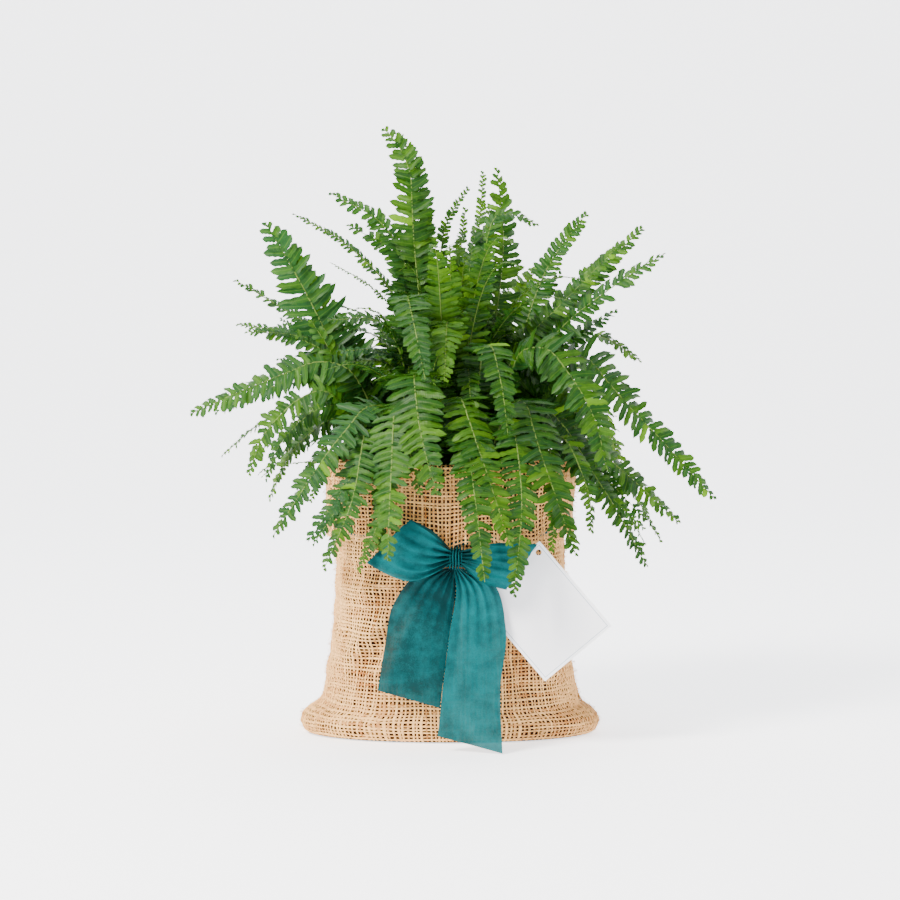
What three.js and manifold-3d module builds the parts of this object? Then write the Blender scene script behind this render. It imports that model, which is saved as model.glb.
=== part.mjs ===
// A Boston fern in its nursery pot, dressed for giving: a hessian sack with a folded
// cuff, an organza ribbon tied in a bow, and a card tag.
// Millimetres, +Z up. The origin is under the middle of the sack's base. The bow is
// on the -Y side, and +X is to the right of someone looking at the bow.
import * as THREE from 'three';
import { mergeVertices } from 'three/addons/utils/BufferGeometryUtils.js';
import Module from 'manifold-3d';

const wasm = await Module();
wasm.setup();

// ---------------------------------------------------------------- driving sizes

const GAP = 0.4; // clearance between pieces that rest on each other

const CLOTH = 2; // hessian, with its fuzz
const SACK_RIM_Z = 211; // top of the fold
const CUFF_HEM_Z = 153; // lower edge of the cuff
const CUFF_STAND = 3.4; // from the sack's wall to the inside of the cuff
const SACK_SIDES = 48;
// Height, half width, half depth and squareness of the sack's outline.
const SACK_LEVELS = [
  [0, 107, 54, 2.1],
  [6, 112, 57, 2.1],
  [14, 107, 61, 2.2],
  [26, 101, 66, 2.3],
  [48, 95, 72, 2.4],
  [75, 92, 76, 2.4],
  [105, 91, 79, 2.4],
  [135, 90.5, 80, 2.4],
  [170, 90.5, 79, 2.4],
  [212, 91, 77, 2.4],
];

const POT = {
  base: 52, // outside radius at the foot
  shoulder: 70, // outside radius under the rim
  rim: 75, // outside radius of the rim: a 15 cm pot
  height: 132,
  rimHeight: 14,
  wall: 1.5,
  sides: 48,
  holes: 5,
  holeRadius: 6,
  holeRing: 34,
};
const COMPOST_DEPTH = 112; // above the pot's floor
const CROWN = { radius: 36, height: 17 };

const RIBBON = 50; // width of the organza
const RIBBON_THICK = 1.2;
const BAND = { low: 157, high: 179, stand: 0.6, dip: 5 };
const KNOT = { at: [4, -92.5, 144.5], size: [12, 14, 15] };

const TAG = {
  size: [82, 64],
  thick: 0.8,
  at: [68, -86, 104],
  turn: -49.7, // of its long side from level
  yaw: 3, // right-hand side stands a little forward
  hole: 2.2,
  holeInset: 6,
};

const STALK = { width: 2.6, share: 0.2 }; // bare share of a frond's length
const BLADE_CORE = 0.34; // modelled share of a blade's width, inside its leaflets
const FROND_RINGS = 13;
const FOOT = { front: 16, left: 14, right: 14, back: 14, upright: 5 }; // from the axis
const FOOT_STEP = 6; // between rows of stalks in a group
const FOOT_ROWS = 3;
const LIFTS = [0, 5, -5, 10, -10, 15, -15, 20, -20, 26, 32, 40];
const SHIFTS = [0, 10, -10, 20, -20, 30, -30];

// Each frond: blade width across the leaflets, turn of its face towards the front in
// degrees, and the points that its midrib passes after leaving the crown.
const FRONDS = {
  left: [
    [56, 75, [-110, 4, 337], [-140, 4, 389]],
    [24, 30, [-90, 34, 292], [-137, 38, 328], [-166, 40, 345]],
    [26, 30, [-100, 17, 295], [-163, 20, 312]],
    [30, 45, [-90, -12, 288], [-129, -12, 305], [-154, -12, 307]],
    [34, 30, [-48, -52, 313], [-90, -72, 318]],
    [44, 40, [-82, -24, 283], [-139, -28, 270], [-195, -30, 246]],
    [28, 20, [-85, 40, 264], [-138, 48, 250], [-178, 54, 208]],
    [36, 35, [-94, -45, 264], [-137, -50, 234], [-150, -52, 202]],
    [30, 30, [-75, -16, 244], [-120, -14, 216], [-137, -12, 180]],
    [38, 20, [-52, -60, 256], [-80, -80, 233], [-130, -92, 160]],
    [34, 10, [-58, -74, 240], [-72, -100, 185], [-92, -108, 137]],
  ],
  front: [
    [38, 0, [-38, -80, 258], [-43, -114, 200], [-45, -128, 146]],
    [50, 0, [-26, -84, 280], [-21, -114, 236], [-9, -124, 193]],
    [40, 0, [-32, -46, 334], [-27, -84, 318], [-18, -108, 276]],
    [36, 0, [-2, -46, 316], [-3, -76, 300], [-4, -96, 274]],
    [36, 0, [27, -60, 302], [37, -92, 274], [42, -108, 236]],
    [38, 0, [4, -74, 264], [23, -110, 219], [43, -132, 158]],
    [34, 0, [10, -84, 246], [17, -122, 204], [25, -142, 132]],
    [34, 0, [42, -74, 248], [52, -112, 192], [46, -130, 121]],
    [48, 0, [50, -62, 262], [67, -92, 219], [91, -118, 149]],
    [24, 0, [66, -58, 240], [76, -98, 191], [74, -112, 151]],
  ],
  right: [
    [50, 40, [61, -35, 299], [103, -56, 254], [117, -64, 205]],
    [46, 40, [89, -14, 291], [136, -18, 250], [200, -22, 181]],
    [40, 30, [66, -32, 250], [117, -34, 214], [173, -36, 164]],
    [34, 25, [66, -42, 252], [112, -52, 195], [147, -56, 134]],
    [30, 20, [72, 4, 258], [134, 6, 192], [162, 6, 145]],
    [28, 10, [78, -52, 238], [102, -74, 196], [104, -80, 162]],
    [36, -20, [85, 17, 296], [114, 20, 303], [147, 22, 283]],
    [36, 50, [58, 2, 292], [101, 8, 340], [147, 12, 386]],
    [44, 30, [70, -14, 312], [118, -20, 358], [161, -24, 366]],
  ],
  upright: [
    [46, 65, [-27, 8, 370], [-34, 14, 440], [-51, 18, 461]],
    [36, 50, [-43, 10, 378], [-91, 10, 412]],
    [20, 40, [-39, -20, 327], [-78, -28, 373], [-117, -30, 396]],
    [44, 70, [41, 35, 371], [36, 40, 431]],
    [34, 40, [22, 18, 345], [40, 20, 398], [67, 20, 387]],
    [20, 30, [20, 52, 350], [26, 62, 428]],
    [18, 40, [-4, 34, 385], [14, 34, 416]],
    [20, 30, [6, 66, 340], [12, 78, 400]],
    [34, 50, [72, 28, 349], [105, 30, 397]],
  ],
  back: [
    [42, 0, [-60, 70, 290], [-105, 125, 250], [-128, 150, 200]],
    [44, 0, [-30, 80, 308], [-55, 140, 262], [-65, 172, 200]],
    [40, 0, [-8, 84, 312], [-4, 130, 312], [4, 168, 278]],
    [46, 0, [30, 80, 296], [58, 142, 248], [72, 172, 188]],
    [40, 0, [68, 60, 286], [118, 108, 240], [142, 132, 180]],
    [36, 0, [-72, 44, 266], [-116, 78, 236], [-134, 92, 188]],
    [34, 20, [-22, 58, 330], [-40, 100, 366]],
    [36, 30, [48, 56, 326], [80, 92, 362]],
    [38, 0, [4, 82, 262], [0, 118, 215], [-5, 140, 150]],
  ],
};

// ---------------------------------------------------------------- finishes

const FINISH = {
  hessian: { color: 0xd2b48c, roughness: 0.95 },
  pot: { color: 0x23211f, roughness: 0.6 },
  compost: { color: 0x33231a, roughness: 1 },
  crown: { color: 0x5a4a2a, roughness: 0.9 },
  organza: { color: 0x0b6f70, roughness: 0.55 },
  card: { color: 0xeeeef2, roughness: 0.7 },
  frond: { color: 0x4a8f2c, roughness: 0.6 },
};

const fern = new THREE.Group();

function addPiece(name, finish, geometry) {
  const material = new THREE.MeshStandardMaterial({ ...FINISH[finish], metalness: 0 });
  const mesh = new THREE.Mesh(geometry, material);
  mesh.name = name;
  fern.add(mesh);
  return mesh;
}

// ---------------------------------------------------------------- geometry helpers

// Positions and faces only, with shared corners merged.
function welded(geometry) {
  const bare = geometry.clone();
  bare.deleteAttribute('normal');
  bare.deleteAttribute('uv');
  return mergeVertices(bare);
}

function toSolid(geometry) {
  const bare = welded(geometry);
  return new wasm.Manifold(new wasm.Mesh({
    numProp: 3,
    vertProperties: new Float32Array(bare.attributes.position.array),
    triVerts: new Uint32Array(bare.index.array),
  }));
}

function fromSolid(solid) {
  const { vertProperties, triVerts } = solid.getMesh();
  const geometry = new THREE.BufferGeometry();
  geometry.setAttribute('position', new THREE.BufferAttribute(new Float32Array(vertProperties), 3));
  geometry.setIndex(new THREE.BufferAttribute(new Uint32Array(triVerts), 1));
  geometry.computeVertexNormals();
  return geometry;
}

// Signed volume: negative where the faces point inwards.
function volume(points, faces) {
  const cross = new THREE.Vector3();
  let sum = 0;
  for (let i = 0; i < faces.length; i += 3) {
    const [a, b, c] = [points[faces[i]], points[faces[i + 1]], points[faces[i + 2]]];
    sum += a.dot(cross.crossVectors(b, c)) / 6;
  }
  return sum;
}

// A closed skin through rings of equal count, from the start point to the end point.
function loft(start, rings, end) {
  const count = rings[0].length;
  const points = [start, ...rings.flat(), end];
  const last = points.length - 1;
  const faces = [];
  for (let j = 0; j < count; j += 1) {
    const k = (j + 1) % count;
    faces.push(0, 1 + k, 1 + j);
    for (let i = 0; i < rings.length - 1; i += 1) {
      const low = 1 + i * count;
      const high = low + count;
      faces.push(low + j, low + k, high + k, low + j, high + k, high + j);
    }
    const top = last - count;
    faces.push(top + j, top + k, last);
  }
  if (volume(points, faces) < 0) faces.reverse();
  const geometry = new THREE.BufferGeometry().setFromPoints(points);
  geometry.setIndex(faces);
  geometry.computeVertexNormals();
  return geometry;
}

function vectors(list) {
  return list.map((p) => new THREE.Vector3(...p));
}

function middleOf(points) {
  const sum = new THREE.Vector3();
  points.forEach((p) => sum.add(p));
  return sum.divideScalar(points.length);
}

// ---------------------------------------------------------------- sack

function sackLevel(z) {
  const height = THREE.MathUtils.clamp(z, 0, SACK_RIM_Z);
  const above = Math.max(1, SACK_LEVELS.findIndex((level) => level[0] > height));
  const [low, high] = [SACK_LEVELS[above - 1], SACK_LEVELS[above]];
  const share = (height - low[0]) / (high[0] - low[0]);
  return low.map((value, i) => THREE.MathUtils.lerp(value, high[i], share)).slice(1);
}

// A point on the sack's wall at a given turn, moved outwards by stand.
function onSack(turn, z, stand) {
  const [halfWidth, halfDepth, square] = sackLevel(z);
  const [c, s] = [Math.cos(turn), Math.sin(turn)];
  const x = halfWidth * Math.sign(c) * Math.abs(c) ** (2 / square);
  const y = halfDepth * Math.sign(s) * Math.abs(s) ** (2 / square);
  const normal = new THREE.Vector2(
    Math.sign(c) * Math.abs(c) ** (2 - 2 / square) / halfWidth,
    Math.sign(s) * Math.abs(s) ** (2 - 2 / square) / halfDepth,
  ).normalize();
  return new THREE.Vector3(x + normal.x * stand, y + normal.y * stand, z);
}

function sackRing(z, stand) {
  const turns = Array.from({ length: SACK_SIDES }, (_, i) => (2 * Math.PI * (i + 0.5)) / SACK_SIDES);
  return turns.map((turn) => onSack(turn, z, stand));
}

// One cloth: base, wall, fold, cuff outside and in, and back down the inside.
function sack() {
  const fold = SACK_RIM_Z - 3;
  const outer = CUFF_STAND + CLOTH;
  const wall = SACK_LEVELS.map((level) => level[0]).filter((z) => z < fold);
  const rings = [
    ...wall.map((z) => sackRing(z, 0)),
    sackRing(fold - 3, 0),
    sackRing(fold - 1.5, CUFF_STAND / 2),
    sackRing(fold - 3, CUFF_STAND),
    sackRing(180, CUFF_STAND),
    sackRing(CUFF_HEM_Z, CUFF_STAND),
    sackRing(CUFF_HEM_Z, outer),
    sackRing(180, outer),
    sackRing(fold - 2, outer),
    sackRing(fold + 1.5, outer - 1.4),
    sackRing(SACK_RIM_Z, CUFF_STAND / 2),
    sackRing(fold + 1, -CLOTH + 0.6),
    ...wall.filter((z) => z > CLOTH).reverse().map((z) => sackRing(z, -CLOTH)),
    sackRing(CLOTH, -CLOTH - 3),
  ];
  return loft(new THREE.Vector3(0, 0, 0), rings, new THREE.Vector3(0, 0, CLOTH));
}

addPiece('hessian_sack', 'hessian', sack());

// ---------------------------------------------------------------- pot, compost, crown

const potFloor = CLOTH + GAP;

function lathe(profile, sides) {
  const geometry = new THREE.LatheGeometry(profile.map((p) => new THREE.Vector2(...p)), sides);
  return geometry.rotateX(Math.PI / 2);
}

function pot() {
  const { base, shoulder, rim, height, rimHeight, wall, sides, holes, holeRadius, holeRing } = POT;
  const top = potFloor + height;
  const under = top - rimHeight;
  const shell = toSolid(lathe([
    [0, potFloor], [base - 2, potFloor], [base, potFloor + 2], [shoulder, under], [rim, under],
    [rim, top], [rim - wall, top], [rim - wall, under + wall], [shoulder - wall, under + wall],
    [base - wall, potFloor + 3], [base - wall - 2, potFloor + wall], [0, potFloor + wall],
  ], sides));
  const drains = Array.from({ length: holes }, (_, i) => {
    const turn = (2 * Math.PI * i) / holes;
    const drill = new THREE.CylinderGeometry(holeRadius, holeRadius, 4 * wall, 16);
    drill.rotateX(Math.PI / 2);
    drill.translate(holeRing * Math.cos(turn), holeRing * Math.sin(turn), potFloor + wall / 2);
    return toSolid(drill);
  });
  return fromSolid(drains.reduce((solid, drain) => solid.subtract(drain), shell));
}

addPiece('nursery_pot', 'pot', pot());

const compostLow = potFloor + POT.wall + GAP;
const compostTop = compostLow + COMPOST_DEPTH;

function compost() {
  const inside = POT.wall + 1;
  const rise = (POT.shoulder - POT.base) / (POT.height - POT.rimHeight);
  const edge = POT.base + rise * (compostTop - potFloor) - inside;
  return lathe([
    [0, compostLow], [POT.base - inside - 2, compostLow], [POT.base - inside, compostLow + 3],
    [edge, compostTop - 4], [edge - 3, compostTop - 1], [CROWN.radius + 6, compostTop],
    [0, compostTop],
  ], 32);
}

addPiece('compost', 'compost', compost());

const crownLow = compostTop + GAP;

// Height of the rhizome mound at a distance from its middle.
function crownHeight(radius) {
  const share = Math.min(1, radius / CROWN.radius);
  return crownLow + 3 + (CROWN.height - 3) * (1 - share * share);
}

function crown() {
  const shares = [0, 0.25, 0.5, 0.75, 0.95];
  const mound = shares.map((share) => [share * CROWN.radius, crownHeight(share * CROWN.radius)]);
  return lathe([[0, crownLow], [CROWN.radius - 3, crownLow], ...mound.reverse()], 24);
}

addPiece('fern_crown', 'crown', crown());

// ---------------------------------------------------------------- ribbon and tag

// The tie runs under the cuff and dips at the front, where the bow is tied.
function band() {
  const { low, high, stand, dip } = BAND;
  const front = -Math.PI / 2;
  const ring = (z, away) => Array.from({ length: SACK_SIDES }, (_, i) => {
    const turn = (2 * Math.PI * (i + 0.5)) / SACK_SIDES;
    const fromFront = Math.atan2(Math.sin(turn - front), Math.cos(turn - front));
    const lower = dip * Math.exp(-((fromFront / 0.25) ** 2));
    return onSack(turn, z - lower, away);
  });
  const inner = [ring(low, stand), ring(high, stand)];
  const outer = [ring(high, stand + RIBBON_THICK), ring(low, stand + RIBBON_THICK)];
  const rings = [...inner, ...outer];
  const points = rings.flat();
  const faces = [];
  rings.forEach((_, i) => {
    const [here, next] = [i * SACK_SIDES, ((i + 1) % rings.length) * SACK_SIDES];
    for (let j = 0; j < SACK_SIDES; j += 1) {
      const k = (j + 1) % SACK_SIDES;
      faces.push(here + j, here + k, next + k, here + j, next + k, next + j);
    }
  });
  if (volume(points, faces) < 0) faces.reverse();
  const geometry = new THREE.BufferGeometry().setFromPoints(points);
  geometry.setIndex(faces);
  geometry.computeVertexNormals();
  return geometry;
}

addPiece('ribbon_band', 'organza', band());

// A flat strap between two edges, each smoothed through its points.
function strap(edgeA, edgeB, steps) {
  const [a, b] = [edgeA, edgeB].map((edge) => new THREE.CatmullRomCurve3(vectors(edge)));
  const rings = Array.from({ length: steps + 1 }, (_, i) => {
    const share = i / steps;
    const [pa, pb] = [a.getPoint(share), b.getPoint(share)];
    const along = a.getTangent(share).add(b.getTangent(share));
    const half = pb.clone().sub(pa).cross(along).normalize().multiplyScalar(RIBBON_THICK / 2);
    return [
      pa.clone().add(half), pb.clone().add(half), pb.clone().sub(half), pa.clone().sub(half),
    ];
  });
  return loft(middleOf(rings[0]), rings, middleOf(rings[steps]));
}

// Edges of the bow, from the knot outwards: top and bottom of each loop as it goes out
// in front and comes back behind, and left and right of each tail as it falls.
const BOW = {
  bow_loop_left: [
    [[-3, -97, 151], [-14, -109, 164], [-29, -101, 173], [-14, -93, 165], [-3, -91, 150]],
    [[-3, -98, 140], [-30, -110, 129], [-61, -102, 142], [-30, -93, 131], [-3, -91, 141]],
  ],
  bow_loop_right: [
    [[11, -97, 150], [36, -109, 157], [64, -100, 155], [36, -93, 155], [11, -91, 149]],
    [[11, -98, 139], [24, -110, 128], [41, -102, 122], [24, -94, 129], [11, -91, 140]],
  ],
  ribbon_tail_left: [
    [[-1, -85, 136], [-24, -86, 131], [-42, -85, 108], [-48, -82, 78], [-53.5, -79.5, 44]],
    [[4, -85, 136], [4, -86, 120], [0, -85, 90], [-4, -82, 60], [-7.5, -79, 31]],
  ],
  ribbon_tail_right: [
    [[3, -88, 136], [4.5, -89, 122], [0, -91, 90], [-5, -91, 50], [-9, -91, 12]],
    [[9, -88, 136], [31, -89.5, 126], [41, -92, 92], [37, -97, 48], [38.5, -102, 0.8]],
  ],
};
Object.entries(BOW).forEach(([name, [edgeA, edgeB]]) => {
  addPiece(name, 'organza', strap(edgeA, edgeB, 14));
});

function knot() {
  const geometry = new THREE.SphereGeometry(0.5, 12, 8);
  geometry.scale(...KNOT.size);
  geometry.translate(...KNOT.at);
  return welded(geometry);
}

addPiece('bow_knot', 'organza', knot());

function tag() {
  const [long, short] = TAG.size;
  const outline = new THREE.Shape();
  outline.moveTo(-long / 2, -short / 2);
  outline.lineTo(long / 2, -short / 2);
  outline.lineTo(long / 2, short / 2);
  outline.lineTo(-long / 2, short / 2);
  outline.closePath();
  const hole = new THREE.Path();
  hole.absarc(-long / 2 + TAG.holeInset, short / 2 - TAG.holeInset, TAG.hole, 0, 2 * Math.PI, true);
  outline.holes.push(hole);
  const card = new THREE.ExtrudeGeometry(outline, {
    depth: TAG.thick, bevelEnabled: false, curveSegments: 16,
  });
  return card.rotateZ(THREE.MathUtils.degToRad(TAG.turn));
}

const card = addPiece('gift_tag', 'card', tag());
card.rotation.set(Math.PI / 2, 0, -THREE.MathUtils.degToRad(TAG.yaw), 'ZYX');
card.position.set(...TAG.at);

// ---------------------------------------------------------------- fronds

// Share of the full blade width along a frond: bare stalk, even blade, pointed tip.
function bladeShare(share) {
  const along = THREE.MathUtils.clamp((share - STALK.share) / (1 - STALK.share), 0, 1);
  return Math.sin(Math.PI * along ** 0.6) ** 0.6;
}

// The solid core of a frond: four-sided, with its midrib raised on both faces.
function frondCore(route, blade, face, extra) {
  const curve = new THREE.CatmullRomCurve3(route);
  const span = route[route.length - 1].clone().sub(route[0]);
  const level = new THREE.Vector3(-span.y, span.x, 0).normalize();
  const turned = THREE.MathUtils.degToRad(span.x < 0 ? -face : face);
  const rings = Array.from({ length: FROND_RINGS }, (_, i) => {
    const share = (i + 0.2) / (FROND_RINGS - 0.3);
    const [centre, along] = [curve.getPointAt(share), curve.getTangentAt(share)];
    const side = level.clone().addScaledVector(along, -level.dot(along)).normalize();
    side.applyAxisAngle(along, turned * THREE.MathUtils.smoothstep(share, 0.1, 0.5));
    const up = along.clone().cross(side);
    const stalk = THREE.MathUtils.lerp(STALK.width, STALK.width / 3, share) / 2;
    side.multiplyScalar(Math.max(stalk, (BLADE_CORE * blade * bladeShare(share)) / 2) + extra);
    up.multiplyScalar(stalk * 0.8 + 0.2 + extra);
    return [side, up, side.clone().negate(), up.clone().negate()].map((v) => v.add(centre));
  });
  return loft(route[0], rings, route[route.length - 1]);
}

function pieceOf(geometry) {
  const solid = toSolid(geometry);
  geometry.computeBoundingBox();
  return { solid, box: geometry.boundingBox };
}

const laid = fern.children.map((mesh) => {
  mesh.updateMatrix();
  return pieceOf(mesh.geometry.clone().applyMatrix4(mesh.matrix));
});

function clearOf(piece, others) {
  return others.every((other) => (
    !piece.box.intersectsBox(other.box) || piece.solid.intersect(other.solid).isEmpty()
  ));
}

// Each frond leaves the crown in its own direction. It is laid over those already there:
// its foot moves round the crown and its arch rises or drops until it touches nothing.
function settle(name, group, index, [blade, face, ...way]) {
  const heading = Math.atan2(way[0][1], way[0][0]);
  const radius = FOOT[group] + FOOT_STEP * (index % FOOT_ROWS);
  for (const lift of LIFTS) {
    for (const shift of SHIFTS) {
      const turn = heading + THREE.MathUtils.degToRad(shift);
      const foot = [radius * Math.cos(turn), radius * Math.sin(turn), crownHeight(radius) + 1.2];
      const arch = way.slice(0, -1).map(([x, y, z]) => [x, y, z + lift]);
      const route = vectors([foot, ...arch, way[way.length - 1]]);
      if (clearOf(pieceOf(frondCore(route, blade, face, GAP)), laid)) {
        const geometry = frondCore(route, blade, face, 0);
        laid.push(pieceOf(geometry));
        addPiece(name, 'frond', geometry);
        return;
      }
    }
  }
  throw new Error(`${name} finds no clear way through the plant`);
}

Object.entries(FRONDS).forEach(([group, habits]) => {
  habits.forEach((habit, index) => {
    settle(`frond_${group}_${index + 1}`, group, index, habit);
  });
});

export default fern;
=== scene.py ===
"""A Boston fern in a hessian gift sack: fronds, woven cloth, organza bow, card tag and stage."""
import math

import bpy
import numpy as np
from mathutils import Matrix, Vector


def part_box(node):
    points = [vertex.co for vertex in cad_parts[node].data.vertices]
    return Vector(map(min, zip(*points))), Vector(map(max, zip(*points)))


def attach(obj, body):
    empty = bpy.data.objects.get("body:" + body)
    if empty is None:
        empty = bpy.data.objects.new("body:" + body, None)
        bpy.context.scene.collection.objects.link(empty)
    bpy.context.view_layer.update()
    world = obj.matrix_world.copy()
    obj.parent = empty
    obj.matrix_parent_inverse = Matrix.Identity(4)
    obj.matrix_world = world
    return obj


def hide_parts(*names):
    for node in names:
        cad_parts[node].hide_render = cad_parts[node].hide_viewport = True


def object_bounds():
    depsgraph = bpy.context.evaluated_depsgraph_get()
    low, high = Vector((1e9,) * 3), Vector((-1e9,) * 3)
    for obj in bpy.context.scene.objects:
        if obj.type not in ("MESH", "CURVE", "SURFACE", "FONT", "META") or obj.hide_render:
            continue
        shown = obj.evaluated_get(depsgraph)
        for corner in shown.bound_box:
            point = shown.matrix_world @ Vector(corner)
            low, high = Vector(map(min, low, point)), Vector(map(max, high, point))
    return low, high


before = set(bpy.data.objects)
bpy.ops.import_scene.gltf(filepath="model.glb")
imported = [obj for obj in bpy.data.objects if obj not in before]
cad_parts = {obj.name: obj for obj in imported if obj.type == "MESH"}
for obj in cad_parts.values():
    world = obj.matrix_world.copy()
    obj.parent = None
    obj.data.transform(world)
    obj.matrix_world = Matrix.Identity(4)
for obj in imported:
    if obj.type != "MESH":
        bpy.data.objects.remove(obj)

bl_info = {
    "name": "Boston Fern Gift Sack",
    "version": (1, 0, 0),
    "blender": (4, 5, 0),
    "location": "View3D > Sidebar > Fern",
    "description": "Builds a potted fern in a hessian sack with an organza bow",
    "category": "Add Mesh",
}

MM = 0.001
BODY = "root"
CAD_BOX = [list(corner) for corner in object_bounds()]
FROND_NODES = sorted(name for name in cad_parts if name.startswith("frond_"))


# ---------------------------------------------------------------- sizes and colours

def colour_prop(name, description, hex_colour):
    """A colour that a user can change, stored linear."""
    return bpy.props.FloatVectorProperty(
        name=name, description=description, subtype="COLOR", size=4, min=0, max=1,
        default=linear(hex_colour),
    )


def length_prop(name, description, millimetres):
    """A length that a user can change, in metres."""
    return bpy.props.FloatProperty(
        name=name, description=description, subtype="DISTANCE", unit="LENGTH",
        default=millimetres * MM, min=0, precision=5,
    )


def linear(hex_colour):
    """An sRGB hex colour as linear RGBA."""
    channels = [int(hex_colour[i:i + 2], 16) / 255 for i in (1, 3, 5)]
    return tuple(
        c / 12.92 if c <= 0.04045 else ((c + 0.055) / 1.055) ** 2.4 for c in channels
    ) + (1.0,)


class FernSettings(bpy.types.PropertyGroup):
    """Leaves and stalks."""

    # painted shade: the dark green of leaves in the plant's shade, spread at random over the leaves
    # by their tone and mottle
    shade: colour_prop("Old leaf", "Leaves low in the plant", "#061f03")
    leaf: colour_prop("Leaf", "Most of the leaves", "#1a4604")
    young: colour_prop("Young leaf", "The newest, yellower leaves", "#5c8808")
    # painted light: the grey-green of the shaded outer fronds, laid on by the dull mark, most on
    # the left fronds
    grey: colour_prop("Dull leaf", "Leaves with a bluish bloom", "#23512a")
    stalk: colour_prop("Stalk", "Midribs and stalks", "#3f5418")
    pitch: length_prop("Leaflet spacing", "Between leaflets, on a blade of no width", 1.8)
    pitch_share: bpy.props.FloatProperty(
        name="Spacing share", description="Added spacing as a share of the blade's width",
        default=0.066, min=0, max=1, subtype="FACTOR",
    )
    core_share: bpy.props.FloatProperty(
        name="Core share", description="Width of a frond's core as a share of its blade",
        default=0.28, min=0.1, max=1, subtype="FACTOR",
    )
    young_fronds: bpy.props.IntProperty(
        name="Young fronds", description="Short fronds that fill the middle", default=68, min=0,
    )


class SackSettings(bpy.types.PropertyGroup):
    """Hessian cloth."""

    yarn: colour_prop("Yarn", "Undyed jute yarn in the light", "#f0bd78")
    # partly painted shade: the brown of jute yarn in shadow, spread at random over the yarns as
    # browner yarns
    brown_yarn_and_shade: colour_prop("Dark yarn", "The browner yarns", "#a5632c")
    # painted shade: the near black painted on the ground under the yarns, for the shade inside the
    # sack seen through the weave
    gap: colour_prop("Gap", "The dark between the yarns", "#0c0401")
    pitch: length_prop("Thread spacing", "From one yarn to the next", 2.85)
    yarn_share: bpy.props.FloatProperty(
        name="Yarn share", description="Yarn width as a share of the spacing",
        default=0.43, min=0.2, max=1, subtype="FACTOR",
    )
    hairs: bpy.props.IntProperty(
        name="Fibres", description="Loose fibres on the cloth", default=4700, min=0,
    )


class RibbonSettings(bpy.types.PropertyGroup):
    """Organza ribbon."""

    organza: colour_prop("Organza", "The ribbon in the light", "#005c60")
    # painted shade: the darker teal painted into the troughs of the folds, over the knot and band
    # and on the left tail; it is also the dark of the organza's mottle
    fold: colour_prop("Folds", "The ribbon where it lies double", "#003032")
    width: length_prop("Ribbon width", "Across the ribbon laid flat", 50)
    opacity: bpy.props.FloatProperty(
        name="Opacity", description="How much of what lies behind is hidden",
        default=0.97, min=0, max=1, subtype="FACTOR",
    )


class TagSettings(bpy.types.PropertyGroup):
    """Card tag."""

    card: colour_prop("Card", "Uncoated white card", "#f2f2f6")
    line: colour_prop("Border", "The thin printed border", "#a9b6c2")
    inset: length_prop("Border inset", "From the card's edge to its border line", 2.2)
    line_width: length_prop("Border width", "Of the printed line", 0.5)


class StageSettings(bpy.types.PropertyGroup):
    """Floor, lights and camera."""

    floor: colour_prop("Floor", "Pale matt floor and backdrop", "#f4f5f8")
    glow: bpy.props.FloatProperty(
        name="Floor glow", description="Light that the sweep gives of itself, as a lit one does",
        default=2.0, min=0,
    )
    distance: length_prop("Camera distance", "From the plant's axis", 2280)
    height: length_prop("Camera height", "Above the floor", 388)
    tilt: bpy.props.FloatProperty(
        name="Camera tilt", description="Downwards", default=math.radians(4.3),
        subtype="ANGLE", unit="ROTATION",
    )
    lens: bpy.props.FloatProperty(
        name="Lens", description="Focal length in millimetres", default=120, min=10,
    )


GROUPS = {
    "fern": FernSettings, "sack": SackSettings, "ribbon": RibbonSettings,
    "tag": TagSettings, "stage": StageSettings,
}


def settings(group):
    """The scene's settings of one group."""
    return getattr(bpy.context.scene, "fern_sack_" + group)


# ---------------------------------------------------------------- materials

def add_node(tree, kind, values=None, links=None):
    """A shader node with its settings, socket values and links. A key that names a socket, or
    numbers it, sets the socket; any other sets the node itself."""
    node = tree.nodes.new(kind)
    for key, value in (values or {}).items():
        if key == "ramp":
            elements = node.color_ramp.elements
            for element, (place, colour) in zip(elements, (value[0], value[-1])):
                element.position, element.color = place, colour
            for place, colour in value[1:-1]:
                elements.new(place).color = colour
        elif isinstance(key, int) or key in node.inputs:
            node.inputs[key].default_value = value
        else:
            setattr(node, key, value)
    for key, socket in (links or {}).items():
        tree.links.new(socket, node.inputs[key])
    return node


def new_material(name):
    """An empty node material and its tree."""
    material = bpy.data.materials.new(name)
    material.use_nodes = True
    material.node_tree.nodes.clear()
    return material, material.node_tree


def finish_material(tree, shader):
    """Sends a shader to the output."""
    add_node(tree, "ShaderNodeOutputMaterial", links={"Surface": shader.outputs[0]})


def mixed(tree, share, low, high):
    """A colour between two, by a share. Each colour may be a socket or a value."""
    values, links = {"data_type": "RGBA"}, {0: share}
    for key, colour in ((6, low), (7, high)):
        (links if isinstance(colour, bpy.types.NodeSocket) else values)[key] = colour
    return add_node(tree, "ShaderNodeMix", values, links).outputs[2]


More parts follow.
